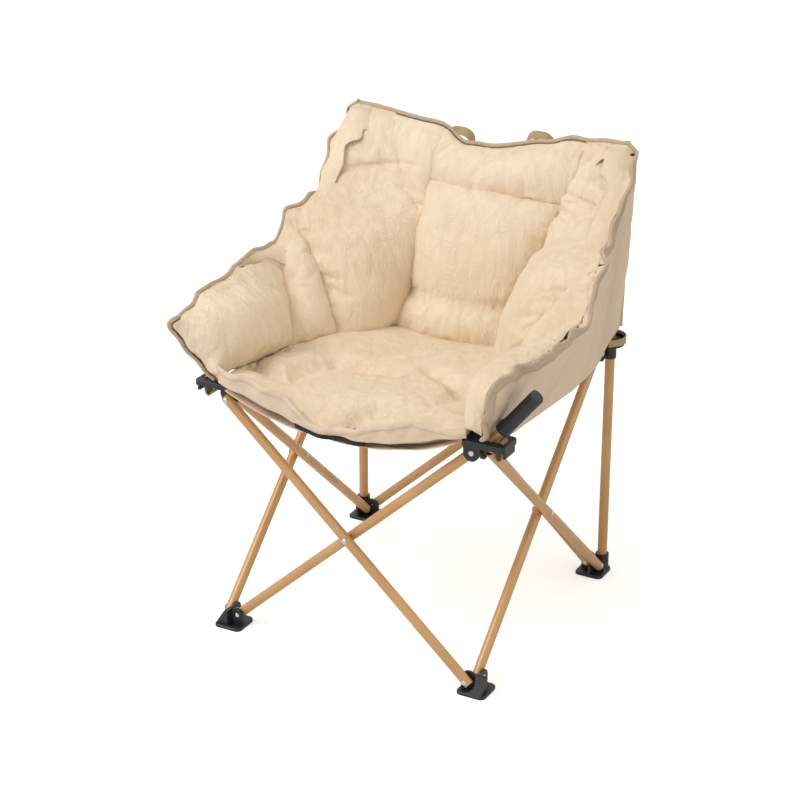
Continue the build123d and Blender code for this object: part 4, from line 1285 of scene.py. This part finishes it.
@dataclass(frozen=True)
class Webbing:
    """The khaki loops: round the sliders, under the hubs and on the top edge."""

    webbing: bpy.types.Material

    def slider_loop(self, side: Side) -> None:
        """The loop that wraps a slider's disc, open towards the tub."""
        centre = np.array([side.value * CORNER, CENTRE_Y + CORNER])
        radius, height, tail = 0.0246, 0.4273, 0.0135
        outward = np.array([side.value, 1.0]) / math.sqrt(2)
        across = np.array([-outward[1], outward[0]])
        turns = np.linspace(-math.pi / 2, math.pi / 2, 50)
        arc = centre + radius * (np.outer(np.cos(turns), outward) + np.outer(np.sin(turns), across))
        runs = np.linspace(tail, 0, 8, endpoint=False)[:, None]
        start = centre - radius * across - runs * outward
        end = centre + radius * across - runs[::-1] * outward
        plan = np.concatenate([start, arc, end])
        path = np.column_stack([plan, np.full(len(plan), height)])
        across = np.tile([0.0, 0.0, 1.0], (len(path), 1))
        strap = Strap(f"{side.word}_slider_strap", 0.0118).sweep(path, across)
        dress(strap, self.webbing, (f"{side.word}_slider_loop",))
        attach(strap, f"rear_{side.word}_slider")

    def hub_loop(self, side: Side) -> None:
        """The loop that hangs under a hub's hook."""
        x, y, plate = 0.2588, CENTRE_Y - 0.214, 0.421
        profile = (
            (x - 0.0055, plate + 0.0101),
            (x - 0.0020, plate + 0.0103),
            (x - 0.0002, plate + 0.0085),
            (x, plate - 0.004),
            (x - 0.0004, plate - 0.012),
            (x - 0.0018, plate - 0.0180),
            (x - 0.0062, plate - 0.0210),
            (x - 0.0108, plate - 0.0180),
            (x - 0.0125, plate - 0.0125),
        )
        path = smooth_path([(side.value * px, y, pz) for px, pz in profile])
        across = np.tile([0.0, 1.0, 0.0], (len(path), 1))
        strap = Strap(f"{side.word}_hub_strap", 0.0198).sweep(path, across)
        dress(strap, self.webbing, (f"{side.word}_hub_loop",))
        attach(strap, f"front_{side.word}_hub")

    def carry_loops(self) -> None:
        """The two loops sewn to the top edge."""
        spots = ((-0.062, 0.2525, 0.716), (0.082, 0.2508, 0.730))
        for number, (x, behind, rim) in enumerate(spots):
            y = CENTRE_Y + behind + 0.008
            arch = (
                (x - 0.0240, y + 0.002, rim - 0.009),
                (x - 0.0215, y + 0.001, rim + 0.001),
                (x - 0.0130, y - 0.001, rim + 0.0085),
                (x + 0.0010, y - 0.002, rim + 0.0105),
                (x + 0.0140, y - 0.001, rim + 0.0080),
                (x + 0.0205, y + 0.001, rim + 0.001),
                (x + 0.0225, y + 0.002, rim - 0.010),
            )
            path = smooth_path(arch)
            across = np.tile([0.0, 0.8, 0.6], (len(path), 1))
            strap = Strap(f"carry_strap_{number + 1}", 0.0165).sweep(path, across)
            dress(strap, self.webbing, ("carry_loops",) if number == 0 else ())
            BACK_HANG.carry(strap)


# ---------------------------------------------------------------- the padding
@dataclass(frozen=True)
class Channel:
    """A sewn channel or fold on a pad: a line pressed into its face, with puckers beside it.

    places are (outboard, behind, height); outboard is X itself on the pads of the middle.
    """

    places: tuple[Place, ...]
    depth: float
    width: float
    pucker: float
    across: int = 2  # the axis that the line is pressed along, so that it counts for nothing


@dataclass
class Padding:
    """A stuffed pad that swells from its solid and stands for it."""

    node: str
    hang: Hang
    sewn: tuple[Place, ...]  # ways that its sides against the shell or the seat's cloth face
    cap: float = 0.012
    fill: float = 0.6
    channels: tuple[Channel, ...] = ()
    side: Side | None = None
    edges: Callable[[], np.ndarray] | None = None  # points of the edges that it is sewn into
    edge_reach: float = 0.026

    @property
    def name(self) -> str:
        """The name of the dressed pad."""
        return self.node.removesuffix("_cushion").removesuffix("_pad") + "_padding"

    def seam_points(self) -> np.ndarray:
        """Points along the sharp edges of the pad's solid, where its cloth is sewn."""
        work = welded(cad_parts[self.node].data)
        points = []
        for edge in work.edges:
            if len(edge.link_faces) == 2 and edge.calc_face_angle() > SEAM_ANGLE:
                start, end = (vertex.co for vertex in edge.verts)
                steps = max(1, int((end - start).length / SEAM_PITCH))
                points += [tuple(start.lerp(end, step / steps)) for step in range(steps + 1)]
        work.free()
        return np.array(points)

    def gather_seams(self) -> None:
        """Gather the cloth into small folds that run square to its seams and die away."""
        tree = tree_of(self.seam_points())
        rows, normal = self.points(), self.normals()
        shift = np.zeros(len(rows))
        for index in np.flatnonzero(self.free > 0.03):
            target, _, distance = tree.find(rows[index])
            fold = sum(noise.noise(target * fine) * share for fine, share in GATHER_WAVES)
            fade = math.exp(-distance / GATHER_REACH) * min(1.0, distance / GATHER_START)
            shift[index] = GATHER * fold * fade * self.free[index]
        self.write(rows + normal * shift[:, None])

    def rough_out(self) -> None:
        """Even, soft-cornered mesh from the pad's solid."""
        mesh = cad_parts[self.node].data.copy()
        mesh.name = self.name
        mesh.materials.clear()
        work = welded(mesh)
        work.to_mesh(mesh)
        work.free()
        self.piece = link(bpy.data.objects.new(self.name, mesh))
        remesh = self.piece.modifiers.new("even", "REMESH")
        remesh.mode = "VOXEL"
        remesh.voxel_size = VOXEL
        soften = self.piece.modifiers.new("soften", "SMOOTH")
        soften.factor = 0.5
        soften.iterations = 5
        settle(self.piece)

    def points(self, what: str = "co") -> np.ndarray:
        """The mesh's points, or another row that each of them has."""
        rows = np.empty(len(self.piece.data.vertices) * 3)
        self.piece.data.vertices.foreach_get(what, rows)
        return rows.reshape(-1, 3)

    def normals(self) -> np.ndarray:
        """The mesh's point normals."""
        return self.points("normal")

    def write(self, rows: np.ndarray) -> None:
        """Move the mesh's points."""
        self.piece.data.vertices.foreach_set("co", rows.ravel())
        self.piece.data.update()

    def held(self) -> np.ndarray:
        """How firmly each point is sewn to what lies behind the pad, 0 to 1."""
        normal = self.normals()
        firm = np.zeros(len(normal))
        for way in self.sewn:
            facing = normal @ np.array(way)
            firm = np.maximum(firm, np.clip((facing - 0.25) / 0.35, 0, 1))
        return firm

    def add_stuffing(self) -> None:
        """Set the pad up as cloth under pressure, sewn along its outer side."""
        self.start = self.points()
        self.firm = self.held()
        group = self.piece.vertex_groups.new(name="sewn")
        for index, weight in enumerate(self.firm):
            if weight > 0.01:
                group.add([index], float(weight), "REPLACE")
        cloth = self.piece.modifiers.new("stuffing", "CLOTH")
        settings = cloth.settings
        settings.quality = 4
        settings.mass = 0.25
        settings.tension_stiffness = 12
        settings.compression_stiffness = 6
        settings.shear_stiffness = 4
        settings.bending_stiffness = 0.25
        settings.use_pressure = True
        settings.uniform_pressure_force = PRESSURE
        settings.shrink_min = settings.shrink_max = -LOOSENESS
        settings.vertex_group_mass = "sewn"
        settings.pin_stiffness = 1.0
        settings.effector_weights.gravity = 0.0
        cloth.collision_settings.use_collision = False
        cloth.collision_settings.use_self_collision = False
        cloth.point_cache.frame_start = 1
        cloth.point_cache.frame_end = SWELL_FRAMES

    def cap_motion(self) -> None:
        """Apply the stuffing, but let no point move further than the cap."""
        if self.piece.modifiers:
            settle(self.piece)
        motion = self.points() - self.start
        size = np.maximum(np.linalg.norm(motion, axis=1, keepdims=True), 1e-9)
        eased = self.cap * np.tanh(size / self.cap)
        self.write(self.start + motion / size * eased)
        self.write(self.points() + self.normals() * ((1 - self.firm) * PLUMP)[:, None])

    def meet_edges(self) -> None:
        """Draw the pad's border out to the edges that it is sewn into."""
        if self.edges is None:
            return
        tree = tree_of(self.edges())
        rows = self.points()
        for index, row in enumerate(rows):
            target, _, distance = tree.find(row)
            if distance < 2.2 * self.edge_reach:
                share = math.exp(-((distance / self.edge_reach) ** 3)) * MEET_SHARE
                rows[index] = row + (np.array(target) - row) * share
        self.write(rows)

    def channel_points(self, channel: Channel) -> np.ndarray:
        """A channel's line as points of the model."""
        sign = self.side.value if self.side else 1
        rows = [(sign * x, CENTRE_Y + y, z) for x, y, z in channel.places]
        line = smooth_path(rows, SEAM_PITCH)
        line[:, channel.across] = 0.0
        return line

    def press_channels(self) -> None:
        """Press the sewn channels and folds into the face and pucker the cloth beside them."""
        rows, normal = self.points(), self.normals()
        for channel in self.channels:
            line = self.channel_points(channel)
            tree = tree_of(line)
            seed = Vector((channel.places[0][0] * 91, 3.7, channel.places[0][2] * 57))
            flat = rows.copy()
            flat[:, channel.across] = 0.0
            low, high = line.min(axis=0) - PUCKER_REACH * 2, line.max(axis=0) + PUCKER_REACH * 2
            facing = np.abs(normal[:, channel.across]) > 0.25
            close = np.all((flat > low) & (flat < high), axis=1) & (self.free > 0.05) & facing
            shift = np.zeros(len(rows))
            for index in np.flatnonzero(close):
                _, at, distance = tree.find(flat[index])
                groove = -channel.depth * math.exp(-((distance / channel.width) ** 2))
                crinkle = noise.noise(seed + Vector((at * SEAM_PITCH * 95, distance * 14, 0)))
                groove += channel.pucker * crinkle * math.exp(-distance / PUCKER_REACH)
                shift[index] = groove * self.free[index]
            rows = rows + normal * shift[:, None]
        self.write(rows)

    def finish(self, liner: bpy.types.Material) -> None:
        """Refine, crease and dress the pad."""
        self.meet_edges()
        refine = self.piece.modifiers.new("refine", "SUBSURF")
        refine.levels = refine.render_levels = 1
        settle(self.piece)
        self.piece.vertex_groups.clear()
        self.free = 1 - self.held()
        self.gather_seams()
        self.press_channels()
        self.wrinkle()
        mesh = self.piece.data
        mesh.polygons.foreach_set("use_smooth", [True] * len(mesh.polygons))
        dress(self.piece, liner, (self.node,))
        self.hang.carry(self.piece)

    def wrinkle(self) -> None:
        """Soft random rumples over the free face."""
        rows, normal = self.points(), self.normals()
        shift = np.array(
            [
                RUMPLE * noise.noise(Vector(row) * 24)
                + CREASE * noise.noise(Vector((row[0] * 75, row[1] * 75, row[2] * 30)))
                for row in rows
            ]
        )
        self.write(rows + normal * (shift * self.free)[:, None])


def rim_line(*cloths: HungCloth) -> np.ndarray:
    """Points just inside the open edges of some panels, on their inner face."""
    lines = []
    for cloth in cloths:
        places, ways = cloth.edge_path()
        count = len(places)
        lines.append(cloth.on_edge(places, ways, np.full(count, 0.004), np.full(count, -0.0058)))
    return np.concatenate(lines)


def seat_side_line(out: int) -> np.ndarray:
    """Where the seat cushion and the arm pads of one side are sewn together."""
    places = (
        (0.213, -0.256, 0.456), (0.210, -0.205, 0.449), (0.210, -0.150, 0.439),
        (0.211, -0.060, 0.430), (0.212, 0.040, 0.424),
    )
    return smooth_path([(out * x, CENTRE_Y + y, z) for x, y, z in places], EDGE_PITCH)


def seat_edge_line() -> np.ndarray:
    """Where the seat cushion is sewn: along the front band and the arm pads."""
    return np.concatenate([rim_line(band_cloth()), seat_side_line(-1), seat_side_line(1)])


def wing_edge_line(side: Side) -> np.ndarray:
    """Where a wing is sewn: along the rims of its side and of the back."""
    return rim_line(side_cloth(side), back_cloth())


def arm_edge_line(side: Side) -> np.ndarray:
    """Where the arm pads of a side are sewn: along the rim and the seat cushion."""
    return np.concatenate([rim_line(side_cloth(side)), seat_side_line(side.value)])


def tub_padding() -> list[Padding]:
    """Every pad of the tub."""
    pads = [
        Padding(
            "seat_cushion",
            SEAT_HANG,
            ((0, 0, -1),),
            fill=0.55,
            edges=seat_edge_line,
            edge_reach=0.038,
            channels=(
                Channel(
                    ((-0.205, -0.176, 0.43), (-0.169, -0.182, 0.43), (-0.122, -0.187, 0.43),
                     (-0.127, -0.140, 0.43), (-0.118, -0.108, 0.43), (-0.080, -0.072, 0.43)),
                    0.016, 0.019, 0.004,
                ),
                Channel(
                    ((-0.192, -0.059, 0.43), (-0.172, -0.038, 0.425), (-0.127, -0.054, 0.425),
                     (-0.080, -0.072, 0.425), (-0.020, -0.062, 0.425)),
                    0.015, 0.019, 0.004,
                ),
                Channel(
                    ((0.017, -0.244, 0.43), (0.039, -0.214, 0.43), (0.098, -0.177, 0.43),
                     (0.122, -0.133, 0.43), (0.128, -0.085, 0.43)),
                    0.017, 0.019, 0.004,
                ),
                Channel(((0.117, -0.077, 0.42), (0.072, -0.047, 0.42), (0.034, -0.026, 0.42)),
                        0.012, 0.014, 0.004),
                Channel(((0.117, -0.077, 0.42), (0.136, -0.057, 0.425), (0.165, -0.025, 0.43)),
                        0.012, 0.014, 0.004),
            ),
        ),
        Padding(
            "back_cushion",
            BACK_HANG,
            ((0, 1, 0),),
            channels=(
                Channel(((-0.105, 0.13, 0.482), (-0.05, 0.115, 0.478), (0.02, 0.115, 0.480),
                         (0.11, 0.13, 0.484)), 0.007, 0.012, 0.004, across=1),
            ),
        ),
        Padding(
            "headrest",
            BACK_HANG,
            ((0, 1, 0),),
            cap=0.018,
            edges=lambda: rim_line(back_cloth()),
        ),
    ]
    for side in Side:
        out = side.value
        pads.append(
            Padding(
                f"{side.word}_wing_pad",
                WING_HANGS[side],
                ((out, 0, 0), (0, 1, 0), (out * 0.7, 0.7, 0)),
                cap=0.018,
                side=side,
                edges=partial(wing_edge_line, side),
                edge_reach=0.034,
                channels=(
                    Channel(((0.212, 0.165, 0.664), (0.160, 0.165, 0.671), (0.118, 0.165, 0.675)),
                            0.0035, 0.0045, 0.0015, across=1),
                ),
            )
        )
        pads += [
            Padding(
                f"{side.word}_{place}_arm_pad",
                ARM_HANGS[side],
                ((out, 0, 0),),
                cap=0.014,
                side=side,
                edges=partial(arm_edge_line, side),
                edge_reach=0.030,
            )
            for place in ("rear", "front")
        ]
    return pads


def stuff(pads: Sequence[Padding], liner: bpy.types.Material) -> None:
    """Make every pad, all of them swelling over the same frames."""
    for pad in pads:
        pad.rough_out()
        pad.add_stuffing()
    scene = bpy.context.scene
    scene.frame_start, scene.frame_end = 1, SWELL_FRAMES
    for number in range(1, SWELL_FRAMES + 1):
        scene.frame_set(number)
    for pad in pads:
        pad.cap_motion()
    bpy.context.scene.frame_set(1)
    for pad in pads:
        pad.finish(liner)


FACING_COLUMNS = 14
FACING_T = 0.0011
LIP = (0.0035, -0.0030)  # below the rim, and behind the panel's outer face
TUCK = 0.006  # how far a facing's lower edge lies inside its pad
POST_REACH = 0.055  # how far from an upright the facings are still drawn in further
CAP_TOP = 0.7495  # the lowest that a facing lies over an upright's cap
CAP_HALF = 0.0165
TENT_SLOPE = 1.5  # how steeply a facing falls away from the cap
TENT_SHARPNESS = 500
DRAW_IN = (0.034, 0.030)  # how far a facing reaches in from the rim, and further at the upright
DRAW_DOWN = (0.012, 0.022)
FACING_REACH = {  # a pad's kind, and the rim's reach that its facing covers, behind the middle
    "wing_pad": (0.075, 0.260),
    "rear_arm_pad": (-0.085, 0.079),
    "front_arm_pad": (-0.275, -0.081),
}


@dataclass(frozen=True)
class Facing:
    """Lining that runs from a pad's border up to the hem, so that no gap shows beside the pad."""

    pad: Padding
    front: float  # the rim's reach that it covers, behind the middle
    rear: float
    corner: bool = False  # whether it goes on round the corner, over the top of the upright

    def from_post(self, points: np.ndarray) -> np.ndarray:
        """How far points lie from the axis of the side's upright."""
        post = np.array([self.pad.side.value * CORNER, CENTRE_Y + CORNER])
        return np.linalg.norm(points[..., :2] - post, axis=-1)

    def rim(self) -> np.ndarray:
        """Points under the hem's inner lip."""
        cloth = side_cloth(self.pad.side)
        lines = [self.lip(cloth, np.arange(0.0, cloth.length, EDGE_PITCH))]
        behind = lines[0][:, 1] - CENTRE_Y
        lines[0] = lines[0][(behind > self.front) & (behind < self.rear)]
        if self.corner:
            back = back_cloth()
            along = np.arange(0.002, 0.075, EDGE_PITCH)
            if self.pad.side is Side.RIGHT:
                along = back.length - along
            lines.append(self.lip(back, along))
        return np.concatenate(lines)

    def lip(self, cloth: HungCloth, along: np.ndarray) -> np.ndarray:
        """Points a little below a panel's rim, on its inner face."""
        places = np.stack([along, np.zeros_like(along)], axis=1)
        ways = np.tile([0.0, 1.0], (len(along), 1))
        count = len(along)
        return cloth.on_edge(places, ways, *(np.full(count, size) for size in LIP))

    def border(self, rim: np.ndarray) -> np.ndarray:
        """Points just inside the pad's face, across from the rim."""
        graph = bpy.context.evaluated_depsgraph_get()
        tree = bvhtree.BVHTree.FromObject(self.pad.piece, graph)
        inward = np.array([0.0, CENTRE_Y + 0.02]) - rim[:, :2]
        inward /= np.linalg.norm(inward, axis=1, keepdims=True)
        near = np.exp(-((self.from_post(rim) / POST_REACH) ** 2))[:, None]
        across = inward * (DRAW_IN[0] + DRAW_IN[1] * near)
        aim = rim + np.column_stack([across, -DRAW_DOWN[0] - DRAW_DOWN[1] * near])
        found = []
        for point in aim:
            spot, normal, _, _ = tree.find_nearest(Vector(point))
            found.append(tuple(spot - normal * TUCK))
        line = np.array(found)
        for _ in range(4):
            line[1:-1] = (line[:-2] + line[1:-1] * 2 + line[2:]) / 4
        return line

    def tent(self, rows: np.ndarray) -> np.ndarray:
        """Lift the cloth over the top of the upright."""
        lowest = CAP_TOP - TENT_SLOPE * np.maximum(self.from_post(rows) - CAP_HALF, 0.0)
        if self.corner:
            sharp = TENT_SHARPNESS
            rows[..., 2] = np.logaddexp(rows[..., 2] * sharp, lowest * sharp) / sharp
        return rows

    def build(self, liner: bpy.types.Material) -> None:
        """Make the facing as a thin closed sheet that stays with its pad."""
        rim = self.rim()
        border = self.border(rim)
        share = np.linspace(0, 1, FACING_COLUMNS)
        rows = rim[:, None] * (1 - share)[None, :, None] + border[:, None] * share[None, :, None]
        travel = run_length(rim)
        seed = 70 + self.pad.side.value
        fold = Ripple(seed, 0.0024, (0.037, 0.023, 0.0161))(travel)[:, None]
        puff = np.sin(share * math.pi)[None, :]
        rows[..., 2] += 0.0035 * puff + fold * puff
        rows = self.tent(rows)
        wide = float(np.linalg.norm(np.diff(rows, axis=1), axis=-1).sum(axis=1).mean())
        flat = np.stack(np.meshgrid(travel, share * wide, indexing="ij"), axis=-1)
        name = self.pad.name.replace("padding", "facing")
        inner = rows - np.array([0, 0, FACING_T])
        piece = sheet_of_cloth(name, rows, inner, flat)
        dress(piece, liner)
        self.pad.hang.carry(piece)


def face_pads(pads: Sequence[Padding], liner: bpy.types.Material) -> None:
    """Close the gaps between the side pads and the rims."""
    for pad in pads:
        for kind, (front, rear) in FACING_REACH.items():
            if pad.node.endswith(kind):
                Facing(pad, front, rear, corner=kind == "wing_pad").build(liner)


# ---------------------------------------------------------------- studio
@dataclass(frozen=True)
class Studio:
    """White sweep, soft lamps and the photograph's camera."""

    look_at: Place = (-0.0253, 0.0033, 0.3579)
    azimuth: float = 28.47
    elevation: float = 24.12
    distance: float = 3.7037
    lens: float = 104.1
    floor_glow: float = 0.42  # lifts the floor to white for the camera alone
    lamp_distance: float = 3.0

    def floor(self) -> None:
        """A plain white floor."""
        half = 9.0
        points = np.array([(-half, -half, 0), (half, -half, 0), (half, half, 0), (-half, half, 0)])
        floor = mesh_piece("studio_floor", points, [(0, 1, 2, 3)])
        material, board, shader, _ = new_material("studio_white")
        rays = board.put("ShaderNodeLightPath")
        board.wire(
            shader,
            Base_Color=(0.9, 0.9, 0.9, 1),
            Roughness=0.9,
            Emission_Color=(1.0, 1.0, 1.0, 1),
            Emission_Strength=board.times(rays.outputs["Is Camera Ray"], self.floor_glow),
        )
        floor.data.materials.append(material)

    def world(self) -> None:
        """Even white surroundings: plain white to the camera and in reflections."""
        world = bpy.data.worlds.new("studio_world")
        bpy.context.scene.world = world
        world.use_nodes = True
        world.node_tree.nodes.clear()
        board = Board(world.node_tree)
        rays = board.put("ShaderNodeLightPath")
        seen = board.sum("MAXIMUM", rays.outputs["Is Camera Ray"], rays.outputs["Is Glossy Ray"])
        seen = board.sum("MAXIMUM", seen, rays.outputs["Is Transmission Ray"])
        strength = board.span(seen, 0.0, 1.0, 0.70, 1.0)
        colour = board.blend(seen, (1.0, 0.95, 0.87, 1), (1.0, 1.0, 1.0, 1))
        background = board.put("ShaderNodeBackground", Color=colour, Strength=strength)
        board.put("ShaderNodeOutputWorld", Surface=background.outputs[0])

    def lamp(self, name: str, azimuth: float, elevation: float, size: float, power: float) -> None:
        """A square soft lamp that looks at the chair."""
        data = bpy.data.lights.new(name, "AREA")
        data.shape = "SQUARE"
        data.size = size
        data.energy = power
        lamp = link(bpy.data.objects.new(name, data))
        lamp.location = self.place(azimuth, elevation, self.lamp_distance)
        lamp.rotation_euler = self.facing(lamp.location)

    def place(self, azimuth: float, elevation: float, distance: float) -> Vector:
        """A point seen from the chair at an azimuth and an elevation."""
        turn, rise = math.radians(azimuth), math.radians(elevation)
        way = Vector(
            (math.sin(turn) * math.cos(rise), -math.cos(turn) * math.cos(rise), math.sin(rise))
        )
        return Vector(self.look_at) + way * distance

    def facing(self, place: Vector) -> tuple[float, float, float]:
        """The rotation that looks at the chair from a place."""
        return (Vector(self.look_at) - place).to_track_quat("-Z", "Y").to_euler()

    def camera(self) -> None:
        """The camera at the photograph's angle."""
        data = bpy.data.cameras.new("studio_camera")
        data.lens = self.lens
        data.sensor_width = 36.0
        data.sensor_fit = "HORIZONTAL"
        camera = link(bpy.data.objects.new("studio_camera", data))
        camera.location = self.place(self.azimuth, self.elevation, self.distance)
        camera.rotation_euler = self.facing(camera.location)
        bpy.context.scene.camera = camera

    def build(self) -> None:
        """Set the whole studio up."""
        self.floor()
        self.world()
        self.lamp("key_lamp", -36, 44, 1.6, 38)
        self.lamp("fill_lamp", 95, 30, 2.0, 5)
        self.lamp("top_lamp", 10, 82, 2.0, 8)
        self.camera()
        bpy.context.scene.view_settings.view_transform = "Standard"


def main() -> None:
    """Build the chair's looks, piece by piece."""
    logging.basicConfig(level=logging.INFO, format="%(name)s: %(message)s")
    effects = Effects()
    materials = {name: finish.build(effects) for name, finish in FINISHES.items()}
    Studio().build()
    dress_frame(materials)
    shell = Shell(materials, Stitcher(materials["thread"]))
    webbing = Webbing(materials["webbing"])
    for side in Side:
        shell.build_side(side)
    shell.build_back()
    shell.build_band()
    shell.build_binding()
    shell.build_seat_cloth()
    for side in Side:
        webbing.slider_loop(side)
        webbing.hub_loop(side)
    webbing.carry_loops()
    pads = tub_padding()
    stuff(pads, materials["liner"])
    face_pads(pads, materials["liner"])


if __name__ == "__main__":
    main()
